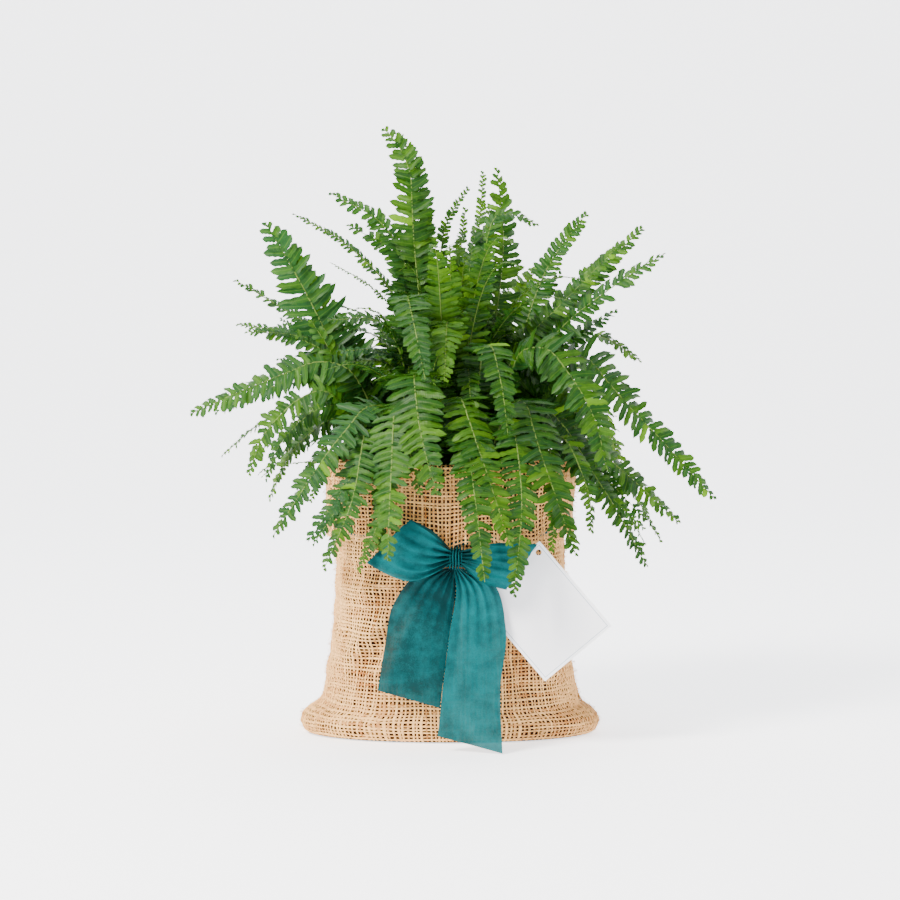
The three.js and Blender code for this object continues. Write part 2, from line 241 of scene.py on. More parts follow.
def living_leaf():
    """Fern leaf: a thin living blade with a waxy skin. A soft satin shine on top, light coming
    through from behind, a paler midrib, and each leaflet a little different in green, with painted
    shade and painted light among its greens."""
    look = settings("fern")
    material, tree = new_material("living_leaf")
    tone = add_node(tree, "ShaderNodeAttribute", {"attribute_name": "tone"})
    dull = add_node(tree, "ShaderNodeAttribute", {"attribute_name": "dull"})
    place = add_node(tree, "ShaderNodeTexCoord")
    mottle = add_node(
        tree, "ShaderNodeTexNoise", {"Scale": 1 / (9 * MM), "Detail": 4, "Roughness": 0.6},
        {"Vector": place.outputs["Object"]},
    )
    shifted = add_node(
        tree, "ShaderNodeMath", {"operation": "MULTIPLY_ADD", 1: 0.34},
        {0: mottle.outputs["Fac"], 2: tone.outputs["Fac"]},
    )
    greens = add_node(
        tree, "ShaderNodeValToRGB",
        {"ramp": [(0.2, look.shade), (0.6, look.leaf), (1.0, look.young)]},
        {"Fac": shifted.outputs[0]},
    )
    # the grey-green laid on here is partly painted light, the look of the shaded outer fronds
    greyed = mixed(tree, dull.outputs["Fac"], greens.outputs["Color"], look.grey)
    grid = add_node(tree, "ShaderNodeUVMap", {"uv_map": "blade"})
    axes = add_node(tree, "ShaderNodeSeparateXYZ", links={"Vector": grid.outputs["UV"]})
    across = add_node(tree, "ShaderNodeMath", {"operation": "ABSOLUTE"}, {0: axes.outputs["Y"]})
    rib = add_node(
        tree, "ShaderNodeMapRange", {"From Min": 0.0, "From Max": 0.2, "To Min": 0.2, "To Max": 0},
        {"Value": across.outputs[0]},
    )
    skin = mixed(tree, rib.outputs["Result"], greyed, linear("#6d9030"))
    veins = add_node(
        tree, "ShaderNodeTexWave",
        {"wave_type": "BANDS", "bands_direction": "X", "Scale": 5.5, "Distortion": 1.2},
        {"Vector": grid.outputs["UV"]},
    )
    relief = add_node(
        tree, "ShaderNodeBump", {"Strength": 0.35, "Distance": 0.25 * MM},
        {"Height": veins.outputs["Fac"]},
    )
    blade = add_node(
        tree, "ShaderNodeBsdfPrincipled",
        {"Roughness": 0.4, "IOR": 1.45, "Specular IOR Level": 0.25},
        {"Base Color": skin, "Normal": relief.outputs["Normal"]},
    )
    glow_colour = mixed(tree, rib.outputs["Result"], skin, look.young)
    glow = add_node(tree, "ShaderNodeBsdfTranslucent", links={"Color": glow_colour})
    both = add_node(
        tree, "ShaderNodeMixShader", {0: 0.34}, {1: blade.outputs[0], 2: glow.outputs[0]}
    )
    finish_material(tree, both)
    return material


def fern_stalk():
    """Stalk: ribbed green stem with straw-brown scales at its foot. Dull and slightly hairy."""
    look = settings("fern")
    material, tree = new_material("fern_stalk")
    rise = add_node(tree, "ShaderNodeAttribute", {"attribute_name": "rise"})
    place = add_node(tree, "ShaderNodeTexCoord")
    streak = add_node(
        tree, "ShaderNodeTexNoise", {"Scale": 1 / (3 * MM), "Detail": 3},
        {"Vector": place.outputs["Object"]},
    )
    height = add_node(
        tree, "ShaderNodeMath", {"operation": "MULTIPLY_ADD", 1: 0.3},
        {0: streak.outputs["Fac"], 2: rise.outputs["Fac"]},
    )
    colours = add_node(
        tree, "ShaderNodeValToRGB",
        {"ramp": [(0.12, linear("#2e1c0c")), (0.34, look.stalk), (1.0, linear("#56701f"))]},
        {"Fac": height.outputs[0]},
    )
    relief = add_node(
        tree, "ShaderNodeBump", {"Strength": 0.5, "Distance": 0.3 * MM},
        {"Height": streak.outputs["Fac"]},
    )
    stem = add_node(
        tree, "ShaderNodeBsdfPrincipled", {"Roughness": 0.6, "IOR": 1.45},
        {"Base Color": colours.outputs["Color"], "Normal": relief.outputs["Normal"]},
    )
    finish_material(tree, stem)
    return material


def jute_yarn():
    """Hessian yarn: undyed jute, spun thick and thin. Matt, hairy, some yarns browner, their brown
    partly painted shade.
    """
    look = settings("sack")
    material, tree = new_material("jute_yarn")
    tone = add_node(tree, "ShaderNodeAttribute", {"attribute_name": "tone"})
    place = add_node(tree, "ShaderNodeTexCoord")
    fibre = add_node(
        tree, "ShaderNodeTexNoise", {"Scale": 1 / (1.1 * MM), "Detail": 4, "Roughness": 0.7},
        {"Vector": place.outputs["Object"]},
    )
    patch = add_node(
        tree, "ShaderNodeTexNoise", {"Scale": 1 / (32 * MM), "Detail": 2},
        {"Vector": place.outputs["Object"]},
    )
    first = add_node(
        tree, "ShaderNodeMath", {"operation": "MULTIPLY_ADD", 1: 0.55},
        {0: fibre.outputs["Fac"], 2: tone.outputs["Fac"]},
    )
    both = add_node(
        tree, "ShaderNodeMath", {"operation": "MULTIPLY_ADD", 1: 0.6},
        {0: patch.outputs["Fac"], 2: first.outputs[0]},
    )
    share = add_node(
        tree, "ShaderNodeMapRange", {"From Min": 0.6, "From Max": 1.18},
        {"Value": both.outputs[0]},
    )
    # the colour runs at random from lit jute to jute in shadow: partly browner yarns, partly
    # painted shade
    colour = mixed(tree, share.outputs["Result"], look.yarn, look.brown_yarn_and_shade)
    relief = add_node(
        tree, "ShaderNodeBump", {"Strength": 0.7, "Distance": 0.25 * MM},
        {"Height": fibre.outputs["Fac"]},
    )
    yarn = add_node(
        tree, "ShaderNodeBsdfPrincipled",
        {"Roughness": 0.93, "Specular IOR Level": 0.15, "Sheen Weight": 0.04},
        {"Base Color": colour, "Normal": relief.outputs["Normal"]},
    )
    finish_material(tree, yarn)
    return material


def hessian_shade_ground():
    """Hessian ground under its yarns, painted with shade: a plain weave painted dark brown and near
    black, for the shade seen between and behind the yarns.
    """
    look = settings("sack")
    material, tree = new_material("hessian_shade_ground")
    grid = add_node(tree, "ShaderNodeUVMap", {"uv_map": "threads"})
    axes = add_node(tree, "ShaderNodeSeparateXYZ", links={"Vector": grid.outputs["UV"]})
    turns = []
    for axis in ("X", "Y"):
        angle = add_node(
            tree, "ShaderNodeMath", {"operation": "MULTIPLY", 1: 2 * math.pi},
            {0: axes.outputs[axis]},
        )
        turns.append(add_node(
            tree, "ShaderNodeMath", {"operation": "COSINE"}, {0: angle.outputs[0]}
        ))
    gap = add_node(
        tree, "ShaderNodeMath", {"operation": "MINIMUM"},
        {0: turns[0].outputs[0], 1: turns[1].outputs[0]},
    )
    open_share = add_node(
        tree, "ShaderNodeMapRange", {"From Min": -0.9, "From Max": -0.2}, {"Value": gap.outputs[0]}
    )
    # painted shade: the ground is painted dark brown and near black, the shade seen through the
    # weave
    colour = mixed(tree, open_share.outputs["Result"], linear("#3a1d0a"), look.gap)
    relief = add_node(
        tree, "ShaderNodeBump", {"Strength": 0.8, "Distance": 0.5 * MM, "invert": True},
        {"Height": open_share.outputs["Result"]},
    )
    cloth = add_node(
        tree, "ShaderNodeBsdfPrincipled", {"Roughness": 0.97, "Specular IOR Level": 0.1},
        {"Base Color": colour, "Normal": relief.outputs["Normal"]},
    )
    finish_material(tree, cloth)
    return material


def sheer_organza():
    """Organza: a crisp open weave of fine teal filament, slightly see-through. Matt with a soft
    sheen, mottled where the weave shifts, and painted darker with shade in its folds, over the knot
    and band and on the left tail. The real threads are about 0.2 mm apart, too fine to show, and
    are drawn at 0.9 mm."""
    look = settings("ribbon")
    material, tree = new_material("sheer_organza")
    grid = add_node(tree, "ShaderNodeUVMap", {"uv_map": "ribbon"})
    place = add_node(tree, "ShaderNodeTexCoord")
    mottle = add_node(
        tree, "ShaderNodeTexNoise", {"Scale": 1 / (14 * MM), "Detail": 6, "Roughness": 0.68},
        {"Vector": place.outputs["Object"]},
    )
    threads = add_node(
        tree, "ShaderNodeTexNoise", {"Scale": 1 / (0.9 * MM), "Detail": 2},
        {"Vector": grid.outputs["UV"]},
    )
    # painted shade: the tone mark darkens the ribbon in its folds, on the knot and band and on the
    # left tail
    painted_shade = add_node(tree, "ShaderNodeAttribute", {"attribute_name": "tone"})
    first = add_node(
        tree, "ShaderNodeMath", {"operation": "MULTIPLY_ADD", 1: 0.35},
        {0: threads.outputs["Fac"], 2: mottle.outputs["Fac"]},
    )
    both = add_node(
        tree, "ShaderNodeMath", {"operation": "ADD"},
        {0: first.outputs[0], 1: painted_shade.outputs["Fac"]},
    )
    share = add_node(
        tree, "ShaderNodeMapRange", {"From Min": 0.45, "From Max": 1.0}, {"Value": both.outputs[0]}
    )
    colour = mixed(tree, share.outputs["Result"], look.organza, look.fold)
    relief = add_node(
        tree, "ShaderNodeBump", {"Strength": 0.25, "Distance": 0.2 * MM},
        {"Height": threads.outputs["Fac"]},
    )
    cloth = add_node(
        tree, "ShaderNodeBsdfPrincipled",
        {"Roughness": 0.55, "Specular IOR Level": 0.05, "Sheen Weight": 0.02,
         "Sheen Roughness": 0.4, "Alpha": look.opacity},
        {"Base Color": colour, "Normal": relief.outputs["Normal"]},
    )
    finish_material(tree, cloth)
    return material


def uncoated_card(box):
    """Tag: uncoated white card, die cut, with a thin plain printed border. Matt, faint tooth."""
    look = settings("tag")
    material, tree = new_material("uncoated_card")
    place = add_node(tree, "ShaderNodeTexCoord")
    low, high = box
    centre = [(a + b) / 2 for a, b in zip(low, high)]
    turned = add_node(
        tree, "ShaderNodeMapping",
        {"vector_type": "TEXTURE", "Location": centre, "Rotation": (0, -TAG_TURN, 0)},
        {"Vector": place.outputs["Object"]},
    )
    axes = add_node(tree, "ShaderNodeSeparateXYZ", links={"Vector": turned.outputs["Vector"]})
    edges = []
    for axis, size in (("X", TAG_SIZE[0]), ("Z", TAG_SIZE[1])):
        out = add_node(tree, "ShaderNodeMath", {"operation": "ABSOLUTE"}, {0: axes.outputs[axis]})
        edges.append(add_node(
            tree, "ShaderNodeMath", {"operation": "SUBTRACT", 0: size / 2}, {1: out.outputs[0]}
        ))
    inset = add_node(
        tree, "ShaderNodeMath", {"operation": "MINIMUM"},
        {0: edges[0].outputs[0], 1: edges[1].outputs[0]},
    )
    line = add_node(
        tree, "ShaderNodeMath", {"operation": "COMPARE", 1: look.inset, 2: look.line_width / 2},
        {0: inset.outputs[0]},
    )
    colour = mixed(tree, line.outputs[0], look.card, look.line)
    tooth = add_node(
        tree, "ShaderNodeTexNoise", {"Scale": 1 / (0.8 * MM), "Detail": 3},
        {"Vector": place.outputs["Object"]},
    )
    relief = add_node(
        tree, "ShaderNodeBump", {"Strength": 0.12, "Distance": 0.1 * MM},
        {"Height": tooth.outputs["Fac"]},
    )
    card = add_node(
        tree, "ShaderNodeBsdfPrincipled", {"Roughness": 0.72},
        {"Base Color": colour, "Normal": relief.outputs["Normal"]},
    )
    finish_material(tree, card)
    return material


def moulded_pot():
    """Nursery pot: thin black polypropylene, vacuum formed. Dull sheen with scuffs and dust."""
    material, tree = new_material("moulded_pot")
    place = add_node(tree, "ShaderNodeTexCoord")
    dust = add_node(
        tree, "ShaderNodeTexNoise", {"Scale": 1 / (11 * MM), "Detail": 5},
        {"Vector": place.outputs["Object"]},
    )
    colour = mixed(tree, dust.outputs["Fac"], linear("#191817"), linear("#2c2a26"))
    rough = add_node(
        tree, "ShaderNodeMapRange", {"To Min": 0.4, "To Max": 0.7}, {"Value": dust.outputs["Fac"]}
    )
    shell = add_node(
        tree, "ShaderNodeBsdfPrincipled", {"IOR": 1.49},
        {"Base Color": colour, "Roughness": rough.outputs["Result"]},
    )
    finish_material(tree, shell)
    return material


def potting_compost(name, dark, light, grain):
    """Compost or rhizome scales: rough brown crumbs and fibre, no shine."""
    material, tree = new_material(name)
    place = add_node(tree, "ShaderNodeTexCoord")
    crumbs = add_node(
        tree, "ShaderNodeTexVoronoi", {"Scale": 1 / grain}, {"Vector": place.outputs["Object"]}
    )
    fibre = add_node(
        tree, "ShaderNodeTexNoise", {"Scale": 1 / (1.5 * MM), "Detail": 5},
        {"Vector": place.outputs["Object"]},
    )
    colour = mixed(tree, fibre.outputs["Fac"], linear(dark), linear(light))
    relief = add_node(
        tree, "ShaderNodeBump", {"Strength": 1.0, "Distance": 1.5 * MM},
        {"Height": crumbs.outputs["Distance"]},
    )
    earth = add_node(
        tree, "ShaderNodeBsdfPrincipled", {"Roughness": 0.95, "Specular IOR Level": 0.15},
        {"Base Color": colour, "Normal": relief.outputs["Normal"]},
    )
    finish_material(tree, earth)
    return material


def matt_floor():
    """Stage: pale matt paint, even."""
    look = settings("stage")
    material, tree = new_material("matt_floor")
    paint = add_node(
        tree, "ShaderNodeBsdfPrincipled",
        {"Base Color": look.floor, "Roughness": 0.85, "Specular IOR Level": 0.2,
         "Emission Color": look.floor, "Emission Strength": look.glow},
    )
    finish_material(tree, paint)
    return material


# ---------------------------------------------------------------- mesh helpers

def build_piece(name, points, faces, materials, maps=None, marks=None, slots=None):
    """A mesh object from arrays. maps holds a UV for each point, marks a number for each."""
    mesh = bpy.data.meshes.new(name)
    quads = np.asarray(faces, np.int32)
    total, corners = quads.shape
    mesh.vertices.add(len(points))
    mesh.vertices.foreach_set("co", np.asarray(points, np.float32).ravel())
    mesh.loops.add(total * corners)
    mesh.loops.foreach_set("vertex_index", quads.ravel())
    mesh.polygons.add(total)
    mesh.polygons.foreach_set("loop_start", np.arange(0, total * corners, corners, dtype=np.int32))
    mesh.polygons.foreach_set("loop_total", np.full(total, corners, np.int32))
    mesh.polygons.foreach_set("use_smooth", np.full(total, True))
    if slots is not None:
        mesh.polygons.foreach_set("material_index", np.asarray(slots, np.int32))
    for key, values in (maps or {}).items():
        layer = mesh.uv_layers.new(name=key)
        layer.data.foreach_set("uv", np.asarray(values, np.float32)[quads.ravel()].ravel())
    for key, values in (marks or {}).items():
        layer = mesh.attributes.new(key, "FLOAT", "POINT")
        layer.data.foreach_set("value", np.asarray(values, np.float32))
    for material in materials:
        mesh.materials.append(material)
    mesh.update(calc_edges=True)
    mesh.validate()
    piece = bpy.data.objects.new(name, mesh)
    bpy.context.scene.collection.objects.link(piece)
    return piece


def place_piece(piece, slot, *nodes):
    """The piece rides on the part and stands for its CAD nodes, which it hides. slot is not used.
    """
    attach(piece, BODY)
    if nodes:
        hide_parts(*nodes)
    return piece


def grid_faces(rows, columns, closed=False):
    """Quads of a grid of points, row by row. A closed one joins its last column to its first."""
    row = np.arange(rows - 1)[:, None] * columns
    column = np.arange(columns if closed else columns - 1)[None, :]
    after = (column + 1) % columns
    quads = np.stack([row + column, row + after, row + columns + after, row + columns + column], -1)
    return quads.reshape(-1, 4)


def repeated(faces, count, size):
    """The faces of many copies of a patch, whose points follow each other, size points each."""
    return (faces[None] + (np.arange(count) * size)[:, None, None]).reshape(-1, 4)


def unit(vectors):
    """Vectors of length one."""
    return vectors / np.maximum(np.linalg.norm(vectors, axis=-1, keepdims=True), 1e-12)


def smooth_through(points, at):
    """Points on a smooth curve through the given ones, at shares of its length from 0 to 1."""
    points = np.asarray(points, float)
    steps = np.linalg.norm(np.diff(points, axis=0), axis=1)
    knots = np.concatenate([[0], np.cumsum(steps)]) / steps.sum()
    slopes = np.gradient(points, knots, axis=0)
    cell = np.clip(np.searchsorted(knots, at, side="right") - 1, 0, len(knots) - 2)
    span = (knots[cell + 1] - knots[cell])[..., None]
    t = (at[..., None] - knots[cell][..., None]) / span
    return (
        (2 * t**3 - 3 * t**2 + 1) * points[cell] + (t**3 - 2 * t**2 + t) * span * slopes[cell]
        + (3 * t**2 - 2 * t**3) * points[cell + 1] + (t**3 - t**2) * span * slopes[cell + 1]
    )


def ripple(x, y, size, seed, waves=7):
    """Smooth random relief from about -1 to 1 over a plane, with bumps of the given size."""
    rng = np.random.default_rng(seed)
    total = np.zeros(np.broadcast(x, y).shape)
    for _ in range(waves):
        turn, phase = rng.uniform(0, 2 * math.pi, 2)
        pace = 2 * math.pi / (size * rng.uniform(1.2, 2.6))
        total += np.sin(pace * (x * math.cos(turn) + y * math.sin(turn)) + phase)
    return total / math.sqrt(waves * 1.5)


def smoothstep(low, high, value):
    """0 below low, 1 above high, smooth between."""
    t = np.clip((value - low) / (high - low), 0, 1)
    return t * t * (3 - 2 * t)


# ---------------------------------------------------------------- fronds

# Points along and across a leaflet, and along and round the stalk that goes with it
FINE_LEAFLET, PLAIN_LEAFLET = (8, 5), (7, 3)
STALK_MESH = {FINE_LEAFLET: (44, 6), PLAIN_LEAFLET: (24, 4)}
CROWN_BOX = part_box("fern_crown")

# How each group of fronds looks: mean tone, how dull, how ragged. Partly painted light: the back
# and upright fronds have a higher tone, a yellower green for light through them from behind, and
# the left fronds are duller, greyer for their shade.
FROND_LOOKS = {
    "left": (0.45, 0.25, 0.6),
    "front": (0.46, 0.03, 0.35),
    "right": (0.45, 0.1, 0.6),
    "upright": (0.50, 0.10, 0.6),
    "back": (0.56, 0.06, 0.6),
}


def frond_line(name):
    """A frond read from its core: points from foot to tip, the direction of its width at each,
    and its core's width there."""
    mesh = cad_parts[name].data
    corners = np.array([vertex.co[:] for vertex in mesh.vertices])
    points, back = np.unique(np.round(corners, 6), axis=0, return_inverse=True)
    back = back.ravel()
    near = [set() for _ in points]
    for edge in mesh.edges:
        a, b = (int(back[v]) for v in edge.vertices)
        if a != b:
            near[a].add(b)
            near[b].add(a)
    centre = np.add(*CROWN_BOX) / 2
    ends = [i for i, others in enumerate(near) if len(others) == 4]
    foot = min(ends, key=lambda i: np.linalg.norm(points[i] - centre))
    level, front, rings = {foot: 0}, [foot], [[foot]]
    while front:
        reached = sorted({j for i in front for j in near[i]} - set(level))
        level.update(dict.fromkeys(reached, len(rings)))
        front = reached
        if reached:
            rings.append(reached)
    line = np.array([points[ring].mean(axis=0) for ring in rings])
    heading = line[-1] - line[0]
    reference = np.array([-heading[1], heading[0], 0.0])
    across, widths = {}, np.zeros(len(rings))
    diagonals = {}
    for k, ring in enumerate(rings[1:-1], 1):
        if len(ring) != 4:
            raise RuntimeError(f"{name}: ring {k} has {len(ring)} points, 4 expected")
        first = points[ring[0]]
        # the corner opposite the first one: the middle of the two is the ring's middle
        far = min(ring[1:], key=lambda i: np.linalg.norm(points[i] + first - 2 * line[k]))
        others = [i for i in ring[1:] if i != far]
        diagonals[k] = (points[far] - first, points[others[1]] - points[others[0]])
        widths[k] = max(np.linalg.norm(d) for d in diagonals[k])
    widest = int(np.argmax(widths))
    across[widest] = max(diagonals[widest], key=np.linalg.norm)
    for order in (range(widest + 1, len(rings) - 1), range(widest - 1, 0, -1)):
        last = unit(across[widest])
        for k in order:
            best = max(diagonals[k], key=lambda d: abs(np.dot(unit(d), last)))
            across[k] = best if np.dot(best, last) > 0 else -best
            last = unit(across[k])
    across[0], across[len(rings) - 1] = across[1], across[len(rings) - 2]
    sides = unit(np.array([across[k] for k in range(len(rings))]))
    if np.dot(sides[1], reference) < 0:
        sides = -sides
    return line, sides, widths


def frond_frames(line, sides, count):
    """Evenly spread points on a frond's line with their tangent, side and upper directions."""
    at = np.linspace(0, 1, count)
    points = smooth_through(line, at)
    tangent = unit(np.gradient(points, axis=0))
    steps = np.linalg.norm(np.diff(line, axis=0), axis=1)
    knots = np.concatenate([[0], np.cumsum(steps)]) / steps.sum()
    side = np.stack([np.interp(at, knots, sides[:, axis]) for axis in range(3)], -1)
    side = unit(side - tangent * (side * tangent).sum(-1, keepdims=True))
    return at, points, tangent, side, np.cross(tangent, side)


def leaflets(base, tangent, side, upper, length, half_width, rng, ragged, detail):
    """The blades of many leaflets. Each starts at its base, points along its side direction and
    lies flat under its upper direction."""
    count = len(base)
    along = np.linspace(0, 1, detail[0])[None, :, None]
    across = np.linspace(-1, 1, detail[1])[None, None, :]
    pick = lambda low, high: rng.uniform(low, high, count)[:, None, None]
    step = np.arange(detail[0])[None, :, None]
    # parallel-sided, rounded at the tip, waisted just above a broad base
    round_tip = np.sqrt(np.clip(1 - np.clip((along - 0.66) / 0.34, 0, 1) ** 2.2, 0, 1))
    outline = round_tip * (0.86 + 0.2 * np.exp(-((along - 0.08) / 0.1) ** 2))
    toothed = 1 + 0.09 * np.where(step % 2, 1, -1) * (along < 0.95) * (np.abs(across) > 0.9)
    width = half_width[:, None, None] * outline * toothed
    ear = 1 + 0.25 * np.exp(-(along / 0.12) ** 2) * (across > 0)
    bend = pick(0.02, 0.14)
    droop = pick(-0.04, 0.22) + ragged * pick(-0.15, 0.45)
    twist = pick(-0.35, 0.35) * (1 + 1.6 * ragged) * along
    fold = pick(0.05, 0.4)
    curl = np.sin(along * pick(7, 15) + pick(0, 6.3) + across * 1.5) * pick(0.05, 0.28)
    x = length[:, None, None] * along * (1 - 0.35 * np.abs(droop) * along)
    flat = width * across * ear
    rise = width * (fold * np.abs(across) ** 1.5 + curl * np.abs(across))
    turned = flat * np.cos(twist) - rise * np.sin(twist)
    lifted = flat * np.sin(twist) + rise * np.cos(twist)
    turned = turned + bend * length[:, None, None] * along**2
    lifted = lifted - droop * length[:, None, None] * along**2
    out = unit(side)[:, None, None, :]
    up = unit(upper)[:, None, None, :]
    forward = unit(tangent)[:, None, None, :]
    points = (
        base[:, None, None, :] + out * x[..., None] + forward * turned[..., None]
        + up * lifted[..., None]
    )
    shape = (count,) + detail
    blade = np.stack([np.broadcast_to(along, shape), np.broadcast_to(across, shape)], -1)
    return points, blade


def baking_cells(count, local):
    """Gives each of many patches its own square of a baking map. local runs 0 to 1."""
    side = math.ceil(math.sqrt(count))
    index = np.arange(count)
    corner = np.stack([index % side, index // side], -1)
    corner = corner.reshape((count,) + (1,) * (local.ndim - 2) + (2,))
    return (corner + 0.06 + 0.88 * local) / side


def frond_parts(line, sides, width_at, tone, dull, ragged, rng, detail, taper=1.0):
    """Stalk and leaflets of one frond, as point, face, map and mark arrays."""
    look = settings("fern")
    stalk_steps, stalk_sides = STALK_MESH[detail]
    length = np.linalg.norm(np.diff(line, axis=0), axis=1).sum()
    at, points, tangent, side, upper = frond_frames(line, sides, stalk_steps)
    radius = (0.95 * (1 - at) ** 0.7 + 0.22) * MM * taper
    turn = np.linspace(0, 2 * math.pi, stalk_sides, endpoint=False)[None, :, None]
    stalk = points[:, None, :] + radius[:, None, None] * (
        np.cos(turn) * side[:, None, :] + 0.8 * np.sin(turn) * upper[:, None, :]
    )
    pitch = look.pitch + look.pitch_share * width_at(np.linspace(0, 1, 50)).max()
    per_side = max(8, int(length / pitch))
    shares, hands = [], []
    for hand in (-1, 1):
        jitter = rng.uniform(-0.16, 0.16, per_side)
        share = (np.arange(per_side) + 0.5 + 0.25 * hand + jitter) / per_side
        shares.append(share)
        hands.append(np.full(per_side, hand))
    share, hand = np.concatenate(shares), np.concatenate(hands)
    full = width_at(share)
    kept = (full > 3 * MM) & (rng.random(len(share)) > 0.015 + 0.06 * ragged * share)
    share, hand, full = share[kept], hand[kept], full[kept]
    pick = lambda field: np.stack([np.interp(share, at, field[:, k]) for k in range(3)], -1)
    base, t, s, u = pick(points), unit(pick(tangent)), unit(pick(side)), unit(pick(upper))
    sweep = np.radians(5 + 28 * share**4) + rng.uniform(-0.12, 0.12, len(share))
    raise_by = rng.uniform(-0.05, 0.22, len(share))
    outward = unit(
        s * (hand * np.cos(sweep))[:, None] + t * np.sin(sweep)[:, None] + u * raise_by[:, None]
    )
    forward = unit(t - outward * (t * outward).sum(-1, keepdims=True))
    above = np.cross(outward, forward) * hand[:, None] * -1
    above = above * np.sign((above * u).sum(-1, keepdims=True))
    reach = full / 2 / np.cos(sweep) * rng.uniform(0.84, 1.06, len(share))
    reach *= 1 - ragged * rng.random(len(share)) * 0.3 * (rng.random(len(share)) < 0.25)
    half = np.minimum(reach * 0.2 + 0.14 * pitch, pitch * 0.52)
    half *= rng.uniform(0.9, 1.1, len(share))
    blades, grid = leaflets(base, forward, outward, above, reach, half, rng, ragged, detail)
    count = len(base)
    leaf_points = blades.reshape(-1, 3)
    leaf_size = detail[0] * detail[1]
    leaf_faces = repeated(grid_faces(*detail), count, leaf_size)
    stalk_faces = grid_faces(stalk_steps, stalk_sides, closed=True) + len(leaf_points)
    local = np.stack([grid[..., 0], grid[..., 1] / 2 + 0.5], -1)
    cells = baking_cells(count + 1, np.concatenate([local, np.zeros((1,) + local.shape[1:])]))
    ring = np.linspace(0, 1, stalk_sides)[None, :]
    run = np.linspace(0, 1, stalk_steps)[:, None]
    stalk_local = np.stack(np.broadcast_arrays(run, ring), -1).reshape(1, -1, 2)
    stalk_cell = cells[count, 0, 0] + stalk_local[0] * 0.88 / math.ceil(math.sqrt(count + 1))
    leaf_tone = tone + rng.normal(0, 0.06, count) + 0.10 * (share - 0.5)
    brown = rng.random(count) < 0.01
    stalk_size = stalk[..., 0].size
    marks = {
        "tone": (np.repeat(np.where(brown, 1.0, leaf_tone), leaf_size), np.full(stalk_size, tone)),
        "dull": (np.repeat(np.clip(dull + rng.normal(0, 0.1, count), 0, 1), leaf_size),
                 np.zeros(stalk_size)),
        "rise": (np.zeros(len(leaf_points)), np.repeat(at, stalk_sides)),
    }
    return {
        "points": np.concatenate([leaf_points, stalk.reshape(-1, 3)]),
        "faces": np.concatenate([leaf_faces, stalk_faces]),
        "slots": np.concatenate([np.zeros(len(leaf_faces)), np.ones(len(stalk_faces))]),
        "blade": np.concatenate([grid.reshape(-1, 2), stalk_local[0]]),
        "OFBake": np.concatenate([cells[:count].reshape(-1, 2), stalk_cell]),
        "marks": {key: np.concatenate(value) for key, value in marks.items()},
    }


def build_frond_piece(name, parts, materials):
    """One object from one or more fronds."""
    starts = np.cumsum([0] + [len(p["points"]) for p in parts[:-1]])
    joined = lambda key: np.concatenate([p[key] for p in parts])
    # each frond has its own square of the baking map
    side = math.ceil(math.sqrt(len(parts)))
    inset = 0.06 if side == 1 else 0.02
    cells = np.concatenate([
        (np.array([k % side, k // side]) + inset + (1 - 2 * inset) * p["OFBake"]) / side
        for k, p in enumerate(parts)
    ])
    return build_piece(
        name, joined("points"),
        np.concatenate([p["faces"] + start for p, start in zip(parts, starts)]), materials,
        {"blade": joined("blade"), "OFBake": cells},
        {key: np.concatenate([p["marks"][key] for p in parts]) for key in parts[0]["marks"]},
        joined("slots"),
    )


# Shorter fronds beside each long one
COMPANIONS = {"left": 2, "front": 1, "right": 1, "upright": 1, "back": 1}
TRIES = 8
# What they keep off, in millimetres: the cuff from outside it, and the bow from in front of it
CUFF_MARGIN, ABOVE_RIM = 12, 8
BOW_HALF_WIDTH, BOW_TOP = 52, 190


def blade_widths(name):
    """A frond's line and sides with its full blade width at each point and their shares."""
    line, sides, widths = frond_line(name)
    steps = np.linalg.norm(np.diff(line, axis=0), axis=1)
    knots = np.concatenate([[0], np.cumsum(steps)]) / steps.sum()
    leafy = np.where(widths > widths[1] * 1.02, widths / settings("fern").core_share, 0)
    first = int(np.argmax(leafy > 0))
    leafy[-1] = 5 * MM
    leafy[-2] = max(leafy[-2], 0.3 * leafy.max())
    leafy[max(first - 1, 0)] = 0.25 * leafy[first]
    return line, sides, leafy, knots


class FERN_OT_fronds(bpy.types.Operator):
    """The long arching fronds, one for each in the frame"""
    bl_idname = "fern_sack.fronds"
    bl_label = "Fronds"

    def execute(self, context):
        materials = [living_leaf(), fern_stalk()]
        for number, name in enumerate(FROND_NODES):
            rng = np.random.default_rng(100 + number)
            tone, dull, ragged = FROND_LOOKS[name.split("_")[1]]
            line, sides, leafy, knots = blade_widths(name)
            width_at = lambda share: np.interp(share, knots, leafy)
            parts = frond_parts(
                line, sides, width_at, tone + rng.normal(0, 0.05),
                np.clip(dull + rng.normal(0, 0.12), 0, 1), ragged, rng, FINE_LEAFLET,
            )
            piece = build_frond_piece(name.replace("frond", "leafy_frond"), [parts], materials)
            place_piece(piece, "fern_leaf", name)
        return {"FINISHED"}


def clear_of_sack(line):
    """Whether a line that leaves the sack's mouth stays off its cuff and doesn't hide the bow."""
    out = line[np.argmax(line[:, 2]):] / MM
    low = out[out[:, 2] < RIM_Z + ABOVE_RIM]
    _, a, b, n = SACK_LEVELS[-1]
    inside = (np.abs(low[:, 0] / (a + CUFF_MARGIN)) ** n
              + np.abs(low[:, 1] / (b + CUFF_MARGIN)) ** n < 1)
    before_bow = (
        (np.abs(out[:, 0] - KNOT_AT[0]) < BOW_HALF_WIDTH) & (out[:, 1] < 0) & (out[:, 2] < BOW_TOP)
    )
    return not (inside.any() or before_bow.any())


